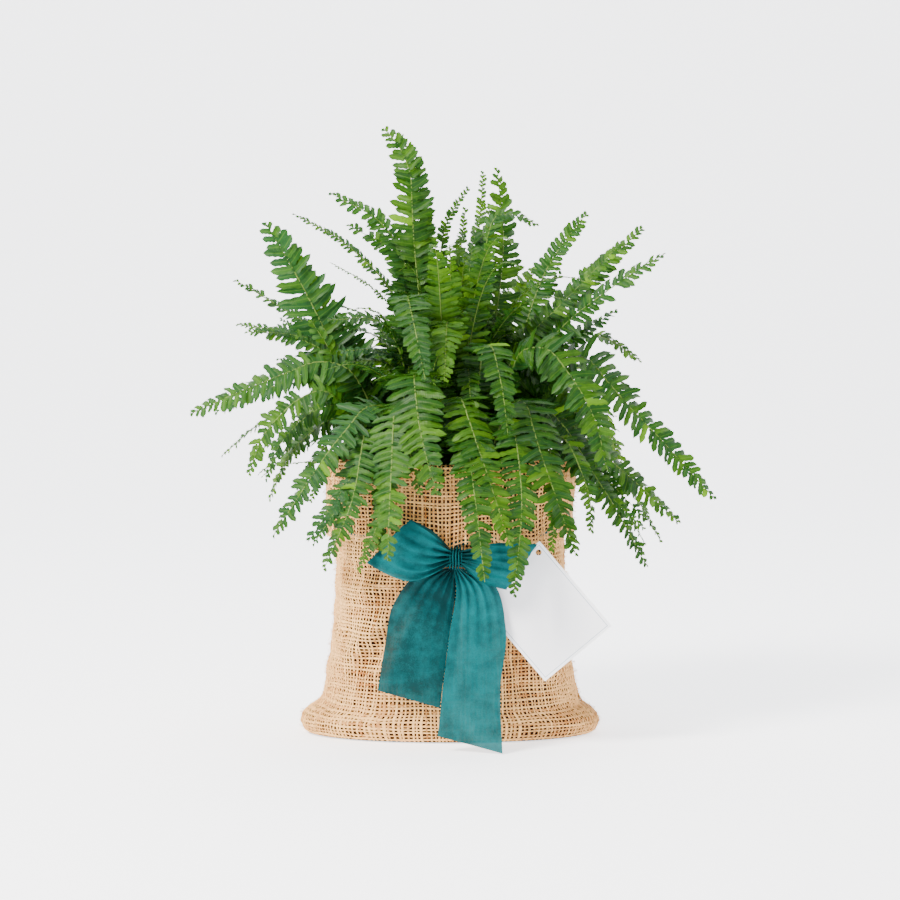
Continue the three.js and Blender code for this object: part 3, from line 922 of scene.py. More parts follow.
class FERN_OT_companions(bpy.types.Operator):
    """Shorter fronds beside the long ones, which thicken each side of the plant"""
    bl_idname = "fern_sack.companions"
    bl_label = "Companion fronds"

    turn: bpy.props.FloatProperty(
        name="Turn", description="Most that one is turned from its long frond",
        default=math.radians(17), subtype="ANGLE", unit="ROTATION",
    )

    def execute(self, context):
        materials = [bpy.data.materials["living_leaf"], bpy.data.materials["fern_stalk"]]
        groups = {}
        for number, name in enumerate(FROND_NODES):
            group = name.split("_")[1]
            tone, dull, ragged = FROND_LOOKS[group]
            line, sides, leafy, knots = blade_widths(name)
            rng = np.random.default_rng(300 + number)
            made = 0
            for _ in range(TRIES):
                angle = rng.choice((-1, 1)) * rng.uniform(0.3, 1) * self.turn
                size = rng.uniform(0.7, 1.0)
                cos, sin = math.cos(angle), math.sin(angle)
                turned = np.array([(cos, -sin, 0), (sin, cos, 0), (0, 0, 1)])
                foot = line[0] * (0.6, 0.6, 1)
                scale = (size, size, size * rng.uniform(0.86, 1.04))
                near = foot + (line - line[0]) @ turned.T * scale
                if not clear_of_sack(near):
                    continue
                width = size * rng.uniform(0.65, 1.0)
                width_at = lambda share: np.interp(share, knots, leafy) * width
                groups.setdefault(group, []).append(frond_parts(
                    near, sides @ turned.T, width_at, tone - 0.06 + rng.normal(0, 0.07),
                    np.clip(dull + rng.normal(0, 0.12), 0, 1), ragged + 0.2, rng,
                    PLAIN_LEAFLET, 0.8,
                ))
                made += 1
                if made == COMPANIONS[group]:
                    break
        for group, parts in groups.items():
            piece = build_frond_piece(f"companion_fronds_{group}", parts, materials)
            place_piece(piece, "fern_leaf")
        return {"FINISHED"}


class FERN_OT_young_fronds(bpy.types.Operator):
    """Short young fronds that fill the middle of the plant"""
    bl_idname = "fern_sack.young_fronds"
    bl_label = "Young fronds"

    pieces: bpy.props.IntProperty(
        name="Pieces", description="Objects to share them out to", default=4, min=1
    )

    def execute(self, context):
        rng = np.random.default_rng(41)
        materials = [bpy.data.materials["living_leaf"], bpy.data.materials["fern_stalk"]]
        top = CROWN_BOX[1][2]
        golden = math.pi * (3 - math.sqrt(5))
        up = np.array([0, 0, 1])
        parts = []
        for number in range(settings("fern").young_fronds):
            turn = golden * number + rng.uniform(-0.2, 0.2)
            out = np.array([math.cos(turn), math.sin(turn), 0])
            reach = rng.uniform(20, 118) * MM
            rise = rng.uniform(110, 285) * MM - 0.45 * reach
            s = np.linspace(0, 1, 12)[:, None]
            start = np.array([0, 0, top - 4 * MM]) + out * rng.uniform(4, 22) * MM
            arch = rng.uniform(1.7, 2.4)
            line = start + out * reach * s**arch + up * rise * (s - 0.42 * s**3) / 0.58
            sway = np.array([-out[1], out[0], 0]) * rng.uniform(-14, 14) * MM
            line = line + sway * s**2
            level = np.array([-out[1], out[0], 0])
            lean = rng.uniform(-0.9, 0.9)
            tilted = (
                level * math.cos(lean) + up * math.sin(lean) * 0.4 + out * math.sin(lean) * 0.6
            )
            sides = unit(np.tile(tilted, (12, 1)))
            blade = rng.uniform(24, 42) * MM
            width_at = lambda share: blade * smoothstep(0.3, 0.5, share) * (
                1 - 0.86 * smoothstep(0.6, 1, share))
            parts.append(frond_parts(
                line, sides, width_at, rng.uniform(0.3, 0.55), rng.uniform(0, 0.2), 0.5, rng,
                PLAIN_LEAFLET, 0.7,
            ))
        for index in range(self.pieces):
            share = parts[index::self.pieces]
            piece = build_frond_piece(f"young_fronds_{index + 1}", share, materials)
            place_piece(piece, "fern_leaf")
        return {"FINISHED"}


# ---------------------------------------------------------------- hessian sack

# Outside of the sack laid round its pot: height, half width, half depth, squareness
SACK_LEVELS = np.array([
    (0, 108, 55, 2.1), (3, 112.5, 57.5, 2.1), (9, 115, 61, 2.1), (15, 113, 64, 2.15),
    (20, 107.5, 66.5, 2.2), (24, 100.5, 68, 2.25), (29, 97.5, 69.5, 2.3), (48, 94, 74, 2.4),
    (75, 90.5, 77, 2.4), (105, 88, 80, 2.4), (135, 87, 81, 2.4), (170, 87.5, 80, 2.4),
    (212, 90, 78, 2.4),
])
SACK_GIRTH = 550
RIM_Z = 210.0
RIM_ROLL = 2.4
CUFF_HEM_Z = 154.0
WALL_LENGTH = 212.0
ROLL_LENGTH = math.pi * RIM_ROLL
CUFF_LENGTH = RIM_Z - CUFF_HEM_Z
CLOTH_LENGTH = WALL_LENGTH + ROLL_LENGTH + CUFF_LENGTH
KNOT_AT = (4.0, 150.0)
BASE_REACH = 54.0

# Folds that hang from the knot: where each ends (x, z), its height and its breadth
DRAPES = (
    ((-78, 62), 4.6, 6), ((-84, 34), -4.2, 8), ((-60, 20), 3.4, 7), ((-30, 8), -2.2, 6),
    ((30, 10), 2.4, 7), ((66, 26), -3.6, 7), ((84, 52), 4.2, 7), ((86, 92), -3.4, 6),
    ((-86, 104), 3.2, 6),
)


def outline_table():
    """Angle round the sack for a share of its girth, so that the warp yarns are evenly apart."""
    turn = np.linspace(0, 2 * math.pi, 1441)
    _, a, b, n = SACK_LEVELS[9]
    x = a * np.sign(np.cos(turn)) * np.abs(np.cos(turn)) ** (2 / n)
    y = b * np.sign(np.sin(turn)) * np.abs(np.sin(turn)) ** (2 / n)
    gone = np.concatenate([[0], np.cumsum(np.hypot(np.diff(x), np.diff(y)))])
    return gone / gone[-1], turn


GIRTH_SHARES, GIRTH_TURNS = outline_table()


def sack_point(around, along, lift):
    """A point of the hessian, in metres. around is a share of the girth from the right side
    towards the back. along is millimetres of cloth from the base's edge up over the rim and down
    the cuff, less than nothing under the base. lift is millimetres off the cloth, on the side
    that is outside on the wall and inside on the cuff."""
    around, along, lift = np.broadcast_arrays(around, along, lift)
    turn = np.interp(around % 1.0, GIRTH_SHARES, GIRTH_TURNS)
    roll = np.clip((along - WALL_LENGTH) / ROLL_LENGTH, 0, 1)
    down = np.clip(along - WALL_LENGTH - ROLL_LENGTH, 0, None)
    height = np.clip(along, 0, WALL_LENGTH) * RIM_Z / WALL_LENGTH - down
    a, b, n = (np.interp(height, SACK_LEVELS[:, 0], SACK_LEVELS[:, k]) for k in (1, 2, 3))
    cos, sin = np.cos(turn), np.sin(turn)
    x = a * np.sign(cos) * np.abs(cos) ** (2 / n)
    y = b * np.sign(sin) * np.abs(sin) ** (2 / n)
    normal = unit(np.stack([
        np.sign(x) * np.abs(x / a) ** (n - 1) / a, np.sign(y) * np.abs(y / b) ** (n - 1) / b
    ], -1))
    arc = around * SACK_GIRTH
    front = y < 0
    from_knot = x - KNOT_AT[0]
    # the wall bags and creases, more towards its ears
    free = smoothstep(0, 20, height) * (1 - 0.7 * smoothstep(130, 160, height))
    wall = free * (
        1.5 * ripple(arc, height * 0.6, 34, 11) + 1.0 * ripple(arc, height, 15, 12)
        + 1.8 * ripple(arc, height, 70, 13)
    ) - 1.4
    # folds run down from the knot to the ears, and a deep crease lies over each ear
    for toward, depth, breadth in DRAPES:
        run = np.array([toward[0] - KNOT_AT[0], toward[1] - KNOT_AT[1]])
        reach = np.linalg.norm(run)
        run = run / reach
        beyond = from_knot * run[0] + (height - KNOT_AT[1]) * run[1]
        aside = from_knot * run[1] - (height - KNOT_AT[1]) * run[0]
        wall = wall + (
            front * depth * np.exp(-(aside / breadth) ** 2) * smoothstep(-5, 30, beyond)
            * (1 - smoothstep(reach * 0.7, reach * 1.15, beyond))
        )
    # the cuff is drawn in and pleated at the knot, and flares to its hem
    drawn = np.exp(-(from_knot / 15) ** 2 - ((height - KNOT_AT[1] - 14) / 20) ** 2) * front
    pleats = 1.3 * np.sin(from_knot * 0.95) * np.exp(-(from_knot / 26) ** 2) * front
    cuff = (
        2 * RIM_ROLL + 0.4 + 1.0 * ripple(arc, height, 24, 14) * smoothstep(0, 14, down)
        + pleats * smoothstep(212, 165, height) - 2.0 * drawn
        + 1.3 * smoothstep(30, CUFF_LENGTH, down)
    )
    turned = (1 - np.cos(math.pi * roll)) / 2
    out = wall * (1 - turned) + np.maximum(cuff, 2.2) * turned + lift * np.cos(math.pi * roll)
    hem = smoothstep(18, CUFF_LENGTH, down) * (
        2.4 * ripple(arc, 0, 44, 15) + 0.9 * ripple(arc, 0, 15, 16)
        - 2.5 * np.exp(-(from_knot / 20) ** 2) * front
    )
    rim = 1.5 * ripple(arc, 0, 60, 17) * smoothstep(150, 210, height)
    z = height + hem + rim + (RIM_ROLL - lift) * np.sin(math.pi * roll)
    under = 1 + np.clip(along, -BASE_REACH, 0) / BASE_REACH * 0.98
    flat = np.stack([x + normal[..., 0] * out, y + normal[..., 1] * out], -1) * under[..., None]
    return np.concatenate([flat, np.maximum(z, 0.4)[..., None]], -1) * MM


def facing(along):
    """1 where the cloth's outside is seen, on the wall, and -1 on the cuff."""
    return np.cos(math.pi * np.clip((along - WALL_LENGTH) / ROLL_LENGTH, 0, 1))


def matted(around, along):
    """How matted the weave is: closed and tangled at the sack's sides, even in the middle."""
    side = np.minimum(np.abs((around + 0.25) % 0.5 - 0.25), 1)
    patchy = 0.5 + 0.5 * ripple(around * SACK_GIRTH, along, 46, 21)
    at_sides = smoothstep(0.13, 0.03, side) * (0.35 + 0.65 * patchy)
    return np.clip(at_sides + 0.3 * smoothstep(0.75, 1.2, patchy), 0, 1)


def woven_yarns(place, length, count, pitch, rng, name, material, width):
    """A piece of many parallel yarns, each a rounded ribbon that goes over and under."""
    look = settings("sack")
    step = np.arange(length)[None, :]
    around, along, weave = place(np.arange(count)[:, None], step)
    phases = rng.uniform(0, 2 * math.pi, (4, count, 1))
    swell = 1 + 0.15 * np.sin(step / 7.7 + phases[0]) + 0.12 * np.sin(step / 2.9 + phases[1])
    stray = 0.3 * np.sin(step / 11.9 + phases[2]) + 0.2 * np.sin(step / 4.1 + phases[3])
    stray = stray + 1.1 * matted(around, along) * ripple(around * SACK_GIRTH, along, 9, 22)
    thick = rng.normal(1, 0.12, (count, 1)).clip(0.75, 1.3)
    close = 1 + 0.75 * matted(around, along)
    half = 0.5 * pitch * look.yarn_share * thick * swell * close
    face = facing(along)
    points = []
    for edge, raised in ((-1, 0), (0, 1), (1, 0)):
        offset = stray + edge * half
        if width == "around":
            a, s = around + offset / SACK_GIRTH, along + 0 * offset
        else:
            a, s = around + 0 * offset, along + offset
        points.append(sack_point(a, s, weave * 0.5 + face * (0.1 + 0.5 * raised)))
    points = np.stack(points, 2)
    faces = repeated(grid_faces(length, 3), count, length * 3)
    u = np.broadcast_to(np.linspace(0, 1, length)[None, :, None], points.shape[:3])
    v = (np.arange(count)[:, None, None] + np.array([0.1, 0.5, 0.9])[None, None, :]) / count
    v = np.broadcast_to(v, points.shape[:3])
    tone = rng.normal(0.18, 0.11, (count, 1, 1)) + 0.10 * np.sin(step / 9.3 + phases[1])[..., None]
    tone = np.broadcast_to(tone, points.shape[:3])
    return build_piece(
        name, points.reshape(-1, 3), faces, [material],
        {"OFBake": np.stack([u, v], -1).reshape(-1, 2)}, {"tone": tone.ravel()},
    )


class FERN_OT_sack(bpy.types.Operator):
    """The hessian sack: its ground painted with shade, warp and weft yarns and loose fibres"""
    bl_idname = "fern_sack.sack"
    bl_label = "Hessian sack"

    def execute(self, context):
        look = settings("sack")
        pitch = look.pitch / MM
        yarn = jute_yarn()
        warps = 2 * round(SACK_GIRTH / pitch / 2)
        wefts = int(CLOTH_LENGTH / pitch)
        rng = np.random.default_rng(7)

        columns = np.linspace(0, 1, warps + 1)
        rows = np.concatenate([
            np.linspace(-BASE_REACH, -4, 14), np.arange(0, CLOTH_LENGTH - 2, pitch)
        ])
        grid = np.stack(np.meshgrid(columns, rows), -1)
        # the ground is a sheet just behind the yarns, painted dark: painted shade that shows
        # through the holes of the weave
        points = sack_point(grid[..., 0], grid[..., 1], -1.3 * facing(grid[..., 1]))
        threads = np.stack([grid[..., 0] * warps, grid[..., 1] / pitch], -1)
        shares = np.linspace(0, 1, len(rows))[:, None]
        cover = np.stack([grid[..., 0], shares + 0 * grid[..., 1]], -1)
        cloth = build_piece(
            "hessian_shade_cloth", points.reshape(-1, 3), grid_faces(len(rows), warps + 1),
            [hessian_shade_ground()],
            {"threads": threads.reshape(-1, 2), "OFBake": cover.reshape(-1, 2)},
        )
        place_piece(cloth, "hessian", "hessian_sack")

        fray = rng.uniform(-1.2, 0.8, (warps, 1))
        length = int(2 * CLOTH_LENGTH / pitch)
        reach = lambda step: 1 + step / (length - 1) * (CLOTH_LENGTH - 1 + fray)
        warp = woven_yarns(
            lambda yarn_number, step: (
                (yarn_number + 0.0 * step) / warps,
                reach(step),
                np.cos(math.pi * (reach(step) / pitch + yarn_number)),
            ),
            length, warps, pitch, rng, "hessian_warp", yarn, "around",
        )
        weft = woven_yarns(
            lambda yarn_number, step: (
                step / (2 * warps) + 0.0 * yarn_number,
                (yarn_number + 1) * pitch + 0.0 * step,
                -np.cos(math.pi * (step / 2 + yarn_number + 1)),
            ),
            2 * warps + 1, wefts, pitch, rng, "hessian_weft", yarn, "along",
        )
        fibres = self.loose_fibres(rng, yarn)
        for piece in (warp, weft, fibres):
            place_piece(piece, "hessian", "hessian_sack")
        return {"FINISHED"}

    def loose_fibres(self, rng, yarn):
        """Fine curved fibres that stand off the cloth, thickest where it is matted."""
        wanted, joints = settings("sack").hairs, 5
        around, along = rng.random(wanted * 4), rng.uniform(2, CLOTH_LENGTH, wanted * 4)
        keep = rng.random(wanted * 4) < 0.25 + 0.75 * matted(around, along)
        around, along = around[keep][:wanted], along[keep][:wanted]
        count = len(around)
        t = np.linspace(0, 1, joints)[None, :]
        pick = lambda low, high: rng.uniform(low, high, (count, 1))
        heading = pick(0, 2 * math.pi) + pick(-2.2, 2.2) * t
        length = pick(2.5, 11)
        path = np.stack([np.cos(heading), np.sin(heading)], -1) * (length / (joints - 1))[..., None]
        path = np.cumsum(path, axis=1)
        loft = pick(0.2, 1) ** 2 * 3.4
        lift = 0.7 + loft * (np.sin(math.pi * t * pick(0.5, 1.0)) ** 2)
        half = pick(0.09, 0.2)
        points = []
        for edge in (-1, 1):
            a = around[:, None] + (path[..., 0] - np.sin(heading) * half * edge) / SACK_GIRTH
            s = along[:, None] + path[..., 1] + np.cos(heading) * half * edge
            s = np.clip(s, 1, CLOTH_LENGTH + 4)
            points.append(sack_point(a, s, lift * facing(s)))
        points = np.stack(points, 2)
        faces = repeated(grid_faces(joints, 2), count, joints * 2)
        local = np.stack(np.meshgrid([0, 1], np.linspace(0, 1, joints)), -1)[None].repeat(count, 0)
        return build_piece(
            "hessian_fibres", points.reshape(-1, 3), faces, [yarn],
            {"OFBake": baking_cells(count, local).reshape(-1, 2)},
            {"tone": np.repeat(rng.uniform(-0.3, 0.5, count), joints * 2)},
        )


# ---------------------------------------------------------------- ribbon

# Top and bottom edges of each stretch of ribbon, from the knot outwards, in millimetres. A loop
# comes back to the knot.
LOOPS = {
    "bow_loop_left": (
        [(2, -96, 149), (-14, -109, 164), (-29, -101, 173), (-14, -93, 165), (2, -91, 149)],
        [(2, -97, 141), (-30, -110, 129), (-61, -102, 142), (-30, -93, 131), (2, -91, 141)],
    ),
    "bow_loop_right": (
        [(6, -96, 149), (36, -109, 157), (64, -100, 155), (36, -93, 155), (6, -91, 149)],
        [(6, -97, 141), (24, -110, 128), (41, -102, 122), (24, -94, 129), (6, -91, 141)],
    ),
}
TAILS = {
    "ribbon_tail_left": (
        [(-1, -85, 136), (-24, -86, 131), (-42, -85, 108), (-48, -82, 78), (-53.5, -79.5, 44)],
        [(4, -85, 136), (4, -86, 120), (0, -85, 90), (-4, -82, 60), (-7.5, -79, 31)],
    ),
    "ribbon_tail_right": (
        [(3, -88, 136), (4.5, -89, 122), (0, -91, 90), (-5, -91, 50), (-9, -91, 12)],
        [(9, -88, 136), (31, -89.5, 126), (41, -92, 92), (37, -97, 48), (38.5, -102, 0.8)],
    ),
}
PLEATS = 5
# painted shade: this share more of the fold colour is painted on the left tail
PAINTED_SHADES = {5: 0.22}  # the left tail lies in the shade of the right one
BAND_LOW, BAND_HIGH, BAND_DIP = 157.0, 179.0, 5.0


def pleated(top, bottom, steps, across, seed, depth):
    """Points of ribbon between two edges, pleated where it is narrower than it lies flat, and the
    painted shade of their folds. depth caps the pleats, in millimetres at the start and at the end."""
    width = settings("ribbon").width / MM
    at = np.linspace(0, 1, steps)
    edges = smooth_through(top, at), smooth_through(bottom, at)
    c = np.linspace(0, 1, across)[None, :]
    points = edges[0][:, None, :] * (1 - c[..., None]) + edges[1][:, None, :] * c[..., None]
    run = np.gradient(points, axis=0)
    cross = np.broadcast_to((edges[1] - edges[0])[:, None, :], points.shape)
    normal = unit(np.cross(run, cross))
    span = np.linalg.norm(edges[1] - edges[0], axis=1)[:, None]
    spare = np.sqrt(np.clip((width / PLEATS) ** 2 - (span / PLEATS) ** 2, 0, None)) / 4
    cap = np.interp(at, np.linspace(0, 1, len(depth)), depth)[:, None]
    phase = 0.9 * ripple(at[:, None] * 90, c * 30, 60, seed) + seed
    wave = np.sin(2 * math.pi * PLEATS * c + phase)
    wave = wave + 0.25 * np.sin(4.3 * math.pi * PLEATS * c + 2 * phase)
    soft = 0.8 * ripple(points[..., 0], points[..., 2], 18, seed + 5) + 0.35 * ripple(
        points[..., 0], points[..., 2], 7, seed + 6)
    fold = np.minimum(spare, cap) * wave + soft * (0.5 + 0.4 * np.minimum(cap, 1.2))
    # painted shade: how far the folds' troughs are painted darker, with the left tail's painted
    # shade on top
    shade = 0.3 * np.minimum(spare, cap) / max(depth) * (1 - wave) / 2 + PAINTED_SHADES.get(seed, 0)
    return points + normal * fold[..., None], shade


def build_ribbon(name, points, shade, length, material):
    """A ribbon piece from a grid of points in millimetres. shade is its painted shade, for each
    point or one for all. length is the ribbon's, laid flat.
    """
    rows, columns = points.shape[:2]
    v, u = np.meshgrid(np.linspace(0, 1, columns), np.linspace(0, 1, rows))
    flat = np.stack([u * length * MM, v * settings("ribbon").width], -1)
    return build_piece(
        name, points.reshape(-1, 3) * MM, grid_faces(rows, columns), [material],
        {"ribbon": flat.reshape(-1, 2), "OFBake": np.stack([u, v], -1).reshape(-1, 2)},
        {"tone": np.broadcast_to(shade, (rows, columns)).ravel()},
    )


def line_length(points):
    """Length of a line through points."""
    return np.linalg.norm(np.diff(np.asarray(points, float), axis=0), axis=1).sum()


class FERN_OT_ribbon(bpy.types.Operator):
    """The organza bow: band round the sack, two loops, two tails and the knot"""
    bl_idname = "fern_sack.ribbon"
    bl_label = "Organza bow"

    def execute(self, context):
        organza = sheer_organza()
        width = settings("ribbon").width
        for number, (name, (top, bottom)) in enumerate({**LOOPS, **TAILS}.items()):
            depth = (2.3, 0.9, 0.15, 1.6, 2.3) if name in LOOPS else (1.3, 0.55, 0.12, 0.08, 0.08)
            points, shade = pleated(top, bottom, 60, 51, number + 3, depth)
            points[..., 2] = np.maximum(points[..., 2], 0.5)
            length = (line_length(top) + line_length(bottom)) / 2
            piece = build_ribbon("organza_" + name, points, shade, length, organza)
            place_piece(piece, "organza", name)
        self.band(organza)
        self.knot(organza)
        return {"FINISHED"}

    def band(self, organza):
        """Ribbon folded in half along its length and drawn round the sack, under the cuff."""
        around = np.linspace(0, 1, 221)[:, None]
        c = np.linspace(0, 1, 25)[None, :]
        arc = around * SACK_GIRTH
        wall = sack_point(around, BAND_LOW, 0) / MM
        dip = BAND_DIP * np.exp(-((wall[..., 0] - KNOT_AT[0]) / 30) ** 2) * (wall[..., 1] < 0)
        z = BAND_LOW - dip + (BAND_HIGH - BAND_LOW) * (1 - np.abs(2 * c - 1))
        lift = 2.1 - 1.1 * smoothstep(0.45, 0.55, c) + 0.22 * ripple(arc, z, 16, 32)
        points = sack_point(around + 0 * c, z * WALL_LENGTH / RIM_Z, lift) / MM
        # painted shade: the band is painted a little darker all over
        piece = build_ribbon("organza_band", points, 0.1, SACK_GIRTH, organza)
        place_piece(piece, "organza", "ribbon_band")
        width = settings("ribbon").width

    def knot(self, organza):
        """Ribbon gathered to fine folds and wrapped once over the middle of the bow."""
        low, high = (np.array(corner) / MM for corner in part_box("bow_knot"))
        centre, half = (low + high) / 2, (high - low) / 2
        turn = np.linspace(0, 2 * math.pi, 61)[:, None]
        c = np.linspace(-1, 1, 85)[None, :]
        bulge = np.sqrt(np.clip(1 - (0.82 * c) ** 2, 0, 1))
        folds = 1.7 * np.sin(math.pi * 7 * c + 0.8 * np.sin(turn * 2 + 1) + 0.5 * np.sin(3 * turn))
        reach = bulge + folds / half[2]
        points = np.stack([
            centre[0] + half[0] * 1.25 * (c + 0.08 * np.sin(turn)) + 0 * turn,
            centre[1] - half[1] * reach * np.cos(turn),
            centre[2] + half[2] * reach * np.sin(turn),
        ], -1)
        length = 2 * math.pi * (half[1] + half[2]) / 2
        # painted shade: the knot is painted darker in the troughs of its folds
        piece = build_ribbon("organza_knot", points, 0.3 * (1 - folds / 1.7) / 2, length, organza)
        place_piece(piece, "organza", "bow_knot")
        settings("ribbon").width


# ---------------------------------------------------------------- tag, pot, compost, crown

TAG_SIZE = (82 * MM, 64 * MM)
TAG_TURN = math.radians(-49.7)


def dress(node, material):
    """Gives a CAD node a finished material."""
    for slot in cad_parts[node].material_slots:
        slot.link = "OBJECT"
        slot.material = material


class FERN_OT_tag_and_pot(bpy.types.Operator):
    """The card tag and the nursery pot, kept from the frame with finished materials"""
    bl_idname = "fern_sack.tag_and_pot"
    bl_label = "Tag and pot"

    def execute(self, context):
        dress("gift_tag", uncoated_card(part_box("gift_tag")))
        dress("nursery_pot", moulded_pot())
        return {"FINISHED"}


def scatter_lumps(centres, sizes, rng):
    """Small uneven lumps, eight-sided, as points and faces."""
    corners = np.array([
        (x, y, z) for z in (-1, 1) for y in (-1, 1) for x in (-1, 1)
    ], float) * 0.6
    count = len(centres)
    shape = corners[None] * rng.uniform(0.5, 1.4, (count, 8, 3))
    turn = rng.uniform(0, 2 * math.pi, count)
    cos, sin = np.cos(turn)[:, None], np.sin(turn)[:, None]
    x, y = shape[..., 0] * cos - shape[..., 1] * sin, shape[..., 0] * sin + shape[..., 1] * cos
    points = centres[:, None, :] + np.stack([x, y, shape[..., 2]], -1) * sizes[:, None, None]
    box = np.array([
        (0, 2, 3, 1), (4, 5, 7, 6), (0, 1, 5, 4), (2, 6, 7, 3), (0, 4, 6, 2), (1, 3, 7, 5)
    ])
    return points.reshape(-1, 3), repeated(box, count, 8)


class FERN_OT_compost(bpy.types.Operator):
    """Compost with crumbs, and the fern's crown of scaly rhizomes"""
    bl_idname = "fern_sack.compost"
    bl_label = "Compost and crown"

    crumbs: bpy.props.IntProperty(
        name="Crumbs", description="Loose crumbs on top", default=600, min=0
    )
    scales: bpy.props.IntProperty(
        name="Scales", description="Papery scales on the crown", default=700, min=0
    )

    def execute(self, context):
        rng = np.random.default_rng(23)
        earth = potting_compost("peat_compost", "#20130b", "#5a3d25", 2.4 * MM)
        low, high = (np.array(corner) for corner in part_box("compost"))
        self.plug(low, high, rng, earth)
        self.crown(rng)
        return {"FINISHED"}

    def plug(self, low, high, rng, earth):
        """Root ball: the pot's inside shape, with a lumpy top."""
        turn = np.linspace(0, 2 * math.pi, 72, endpoint=False)[None, :]
        half = (high - low)[:2].mean() / 2
        foot = 51.5 * MM
        levels = np.linspace(0, 1, 12)[:, None]
        wall_r = foot + (half - foot) * levels - 0.6 * MM
        wall_z = low[2] + (high[2] - low[2] - 2 * MM) * levels
        rings = np.linspace(0.96, 0.02, 22)[:, None]
        top_r = half * rings
        lumpy = ripple(top_r * np.cos(turn) / MM, top_r * np.sin(turn) / MM, 12, 5)
        top_z = high[2] - 2 * MM + 1.6 * MM * lumpy
        radius = np.concatenate([np.full((1, 1), 0.5 * MM), wall_r, top_r]) + 0 * turn
        height = np.concatenate([np.full((1, 72), low[2]), wall_z + 0 * turn, top_z])
        points = np.stack([radius * np.cos(turn), radius * np.sin(turn), height], -1).reshape(-1, 3)
        faces = grid_faces(len(radius), 72, closed=True)
        spots = rng.uniform(-1, 1, (self.crumbs * 2, 2))
        spots = spots[np.linalg.norm(spots, axis=1) < 0.95][:self.crumbs] * half
        centres = np.column_stack([spots, np.full(len(spots), high[2] - 1.2 * MM)])
        lumps, lump_faces = scatter_lumps(centres, rng.uniform(0.5, 2.0, len(spots)) * MM, rng)
        piece = build_piece(
            "root_ball", np.concatenate([points, lumps]),
            np.concatenate([faces, lump_faces + len(points)]), [earth],
        )
        place_piece(piece, "compost", "compost")

    def crown(self, rng):
        """Rhizome mound under narrow papery scales that lie upwards."""
        low, high = (np.array(corner) for corner in CROWN_BOX)
        half, tall = (high - low)[:2].mean() / 2, high[2] - low[2]
        turn = np.linspace(0, 2 * math.pi, 48, endpoint=False)[None, :]
        lean = np.linspace(0, math.pi / 2 * 0.98, 14)[:, None]
        bumps = 1 + 0.06 * ripple(turn * 20, lean * 20, 14, 9)
        mound = np.stack([
            half * 0.94 * np.cos(lean) * np.cos(turn) * bumps,
            half * 0.94 * np.cos(lean) * np.sin(turn) * bumps,
            low[2] + tall * 0.92 * np.sin(lean) * bumps,
        ], -1).reshape(-1, 3)
        faces = grid_faces(14, 48, closed=True)
        count = self.scales
        turn, lean = rng.uniform(0, 2 * math.pi, count), rng.uniform(0.05, 1.4, count)
        out = np.stack([np.cos(turn), np.sin(turn), 0 * turn], -1)
        up = np.array([0, 0, 1.0])
        height = low[2] + tall * 0.85 * np.sin(lean)
        base = half * 0.9 * np.cos(lean)[:, None] * out + up * height[:, None]
        t = np.linspace(0, 1, 4)[None, :, None]
        reach = rng.uniform(4, 9, count)[:, None, None] * MM
        tip = out[:, None, :] * rng.uniform(0.2, 0.9, count)[:, None, None] + up
        middle = base[:, None, :] + unit(tip) * reach * t + out[:, None, :] * 1.5 * MM * t**2
        side = np.stack([-np.sin(turn), np.cos(turn), 0 * turn], -1)[:, None, :]
        width = 0.9 * MM * (1 - t) ** 0.7 + 0.05 * MM
        scale_points = np.stack([middle - side * width, middle + side * width], 2).reshape(-1, 3)
        scale_faces = repeated(grid_faces(4, 2), count, 8)
        piece = build_piece(
            "scaly_crown", np.concatenate([mound, scale_points]),
            np.concatenate([faces, scale_faces + len(mound)]),
            [potting_compost("rhizome_scales", "#4a2c16", "#a3743f", 4 * MM)],
        )
        place_piece(piece, "crown", "fern_crown")


# ---------------------------------------------------------------- stage

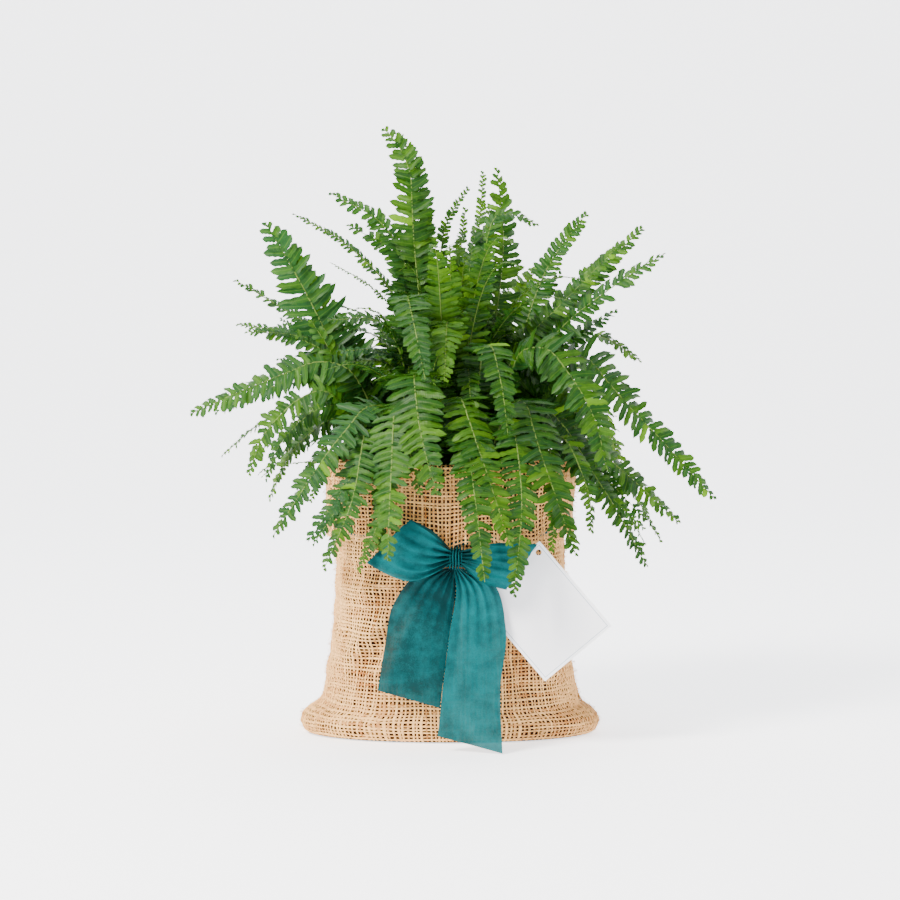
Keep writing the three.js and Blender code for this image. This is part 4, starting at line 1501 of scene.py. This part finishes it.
class FERN_OT_stage(bpy.types.Operator):
    """Pale floor and backdrop, soft lights and the camera"""
    bl_idname = "fern_sack.stage"
    bl_label = "Stage"

    def execute(self, context):
        look = settings("stage")
        sweep = np.concatenate([
            np.stack([np.linspace(-3.2, 1.4, 8), np.zeros(8)], -1),
            np.stack([1.4 + 1.2 * np.sin(np.linspace(0.1, math.pi / 2, 14)),
                      1.2 - 1.2 * np.cos(np.linspace(0.1, math.pi / 2, 14))], -1),
            [(2.6, 4.0)],
        ])
        sides = np.linspace(-5, 5, 3)
        points = np.array([(x, y, z) for y, z in sweep for x in sides])
        floor = build_piece("studio_sweep", points, grid_faces(len(sweep), 3), [matt_floor()])

        self.light("key", (-1.5, -1.6, 1.9), 215, 0.8, "#fffaf2")
        self.light("fill", (1.9, -1.6, 1.1), 14, 1.8, "#f3f6ff")
        self.light("top", (0.1, 0.5, 2.2), 45, 1.6, "#ffffff")
        world = bpy.data.worlds.new("soft_studio")
        world.use_nodes = True
        background = world.node_tree.nodes["Background"]
        background.inputs["Color"].default_value = linear("#eef1f7")
        background.inputs["Strength"].default_value = 0.55
        bpy.context.scene.world = world

        camera = bpy.data.cameras.new("camera")
        camera.lens, camera.sensor_width = look.lens, 36
        holder = bpy.data.objects.new("camera", camera)
        holder.location = (0, -look.distance, look.height)
        holder.rotation_euler = (math.pi / 2 - look.tilt, 0, 0)
        bpy.context.scene.collection.objects.link(holder)
        bpy.context.scene.camera = holder
        return {"FINISHED"}

    def light(self, name, place, power, size, colour):
        """A square soft light that faces the middle of the plant."""
        lamp = bpy.data.lights.new(name, "AREA")
        lamp.energy, lamp.size, lamp.color = power, size, linear(colour)[:3]
        holder = bpy.data.objects.new(name, lamp)
        holder.location = place
        low, high = CAD_BOX
        aim = np.array([0, 0, (low[2] + high[2]) / 2]) - np.array(place)
        flat = math.hypot(aim[0], aim[1])
        heading = math.atan2(aim[0], -aim[1]) + math.pi
        holder.rotation_euler = (math.atan2(flat, -aim[2]), 0, heading)
        bpy.context.scene.collection.objects.link(holder)


class FERN_PT_panel(bpy.types.Panel):
    """Lists the pieces and their settings"""
    bl_idname = "FERN_PT_panel"
    bl_label = "Fern in hessian"
    bl_space_type = "VIEW_3D"
    bl_region_type = "UI"
    bl_category = "Fern"

    def draw(self, context):
        for operator in OPERATORS:
            self.layout.operator(operator.bl_idname)
        for group, kind in GROUPS.items():
            box = self.layout.box()
            for name in kind.__annotations__:
                box.prop(settings(group), name)


OPERATORS = (
    FERN_OT_fronds, FERN_OT_companions, FERN_OT_young_fronds, FERN_OT_compost, FERN_OT_sack,
    FERN_OT_ribbon, FERN_OT_tag_and_pot, FERN_OT_stage,
)


def register():
    for kind in (*GROUPS.values(), *OPERATORS, FERN_PT_panel):
        bpy.utils.register_class(kind)
    for group, kind in GROUPS.items():
        setattr(bpy.types.Scene, "fern_sack_" + group, bpy.props.PointerProperty(type=kind))


def unregister():
    for group in GROUPS:
        delattr(bpy.types.Scene, "fern_sack_" + group)
    for kind in reversed((*GROUPS.values(), *OPERATORS, FERN_PT_panel)):
        bpy.utils.unregister_class(kind)


def main():
    """Builds everything."""
    register()
    for operator in OPERATORS:
        module, name = operator.bl_idname.split(".")
        getattr(getattr(bpy.ops, module), name)()


if __name__ == "__main__":
    main()
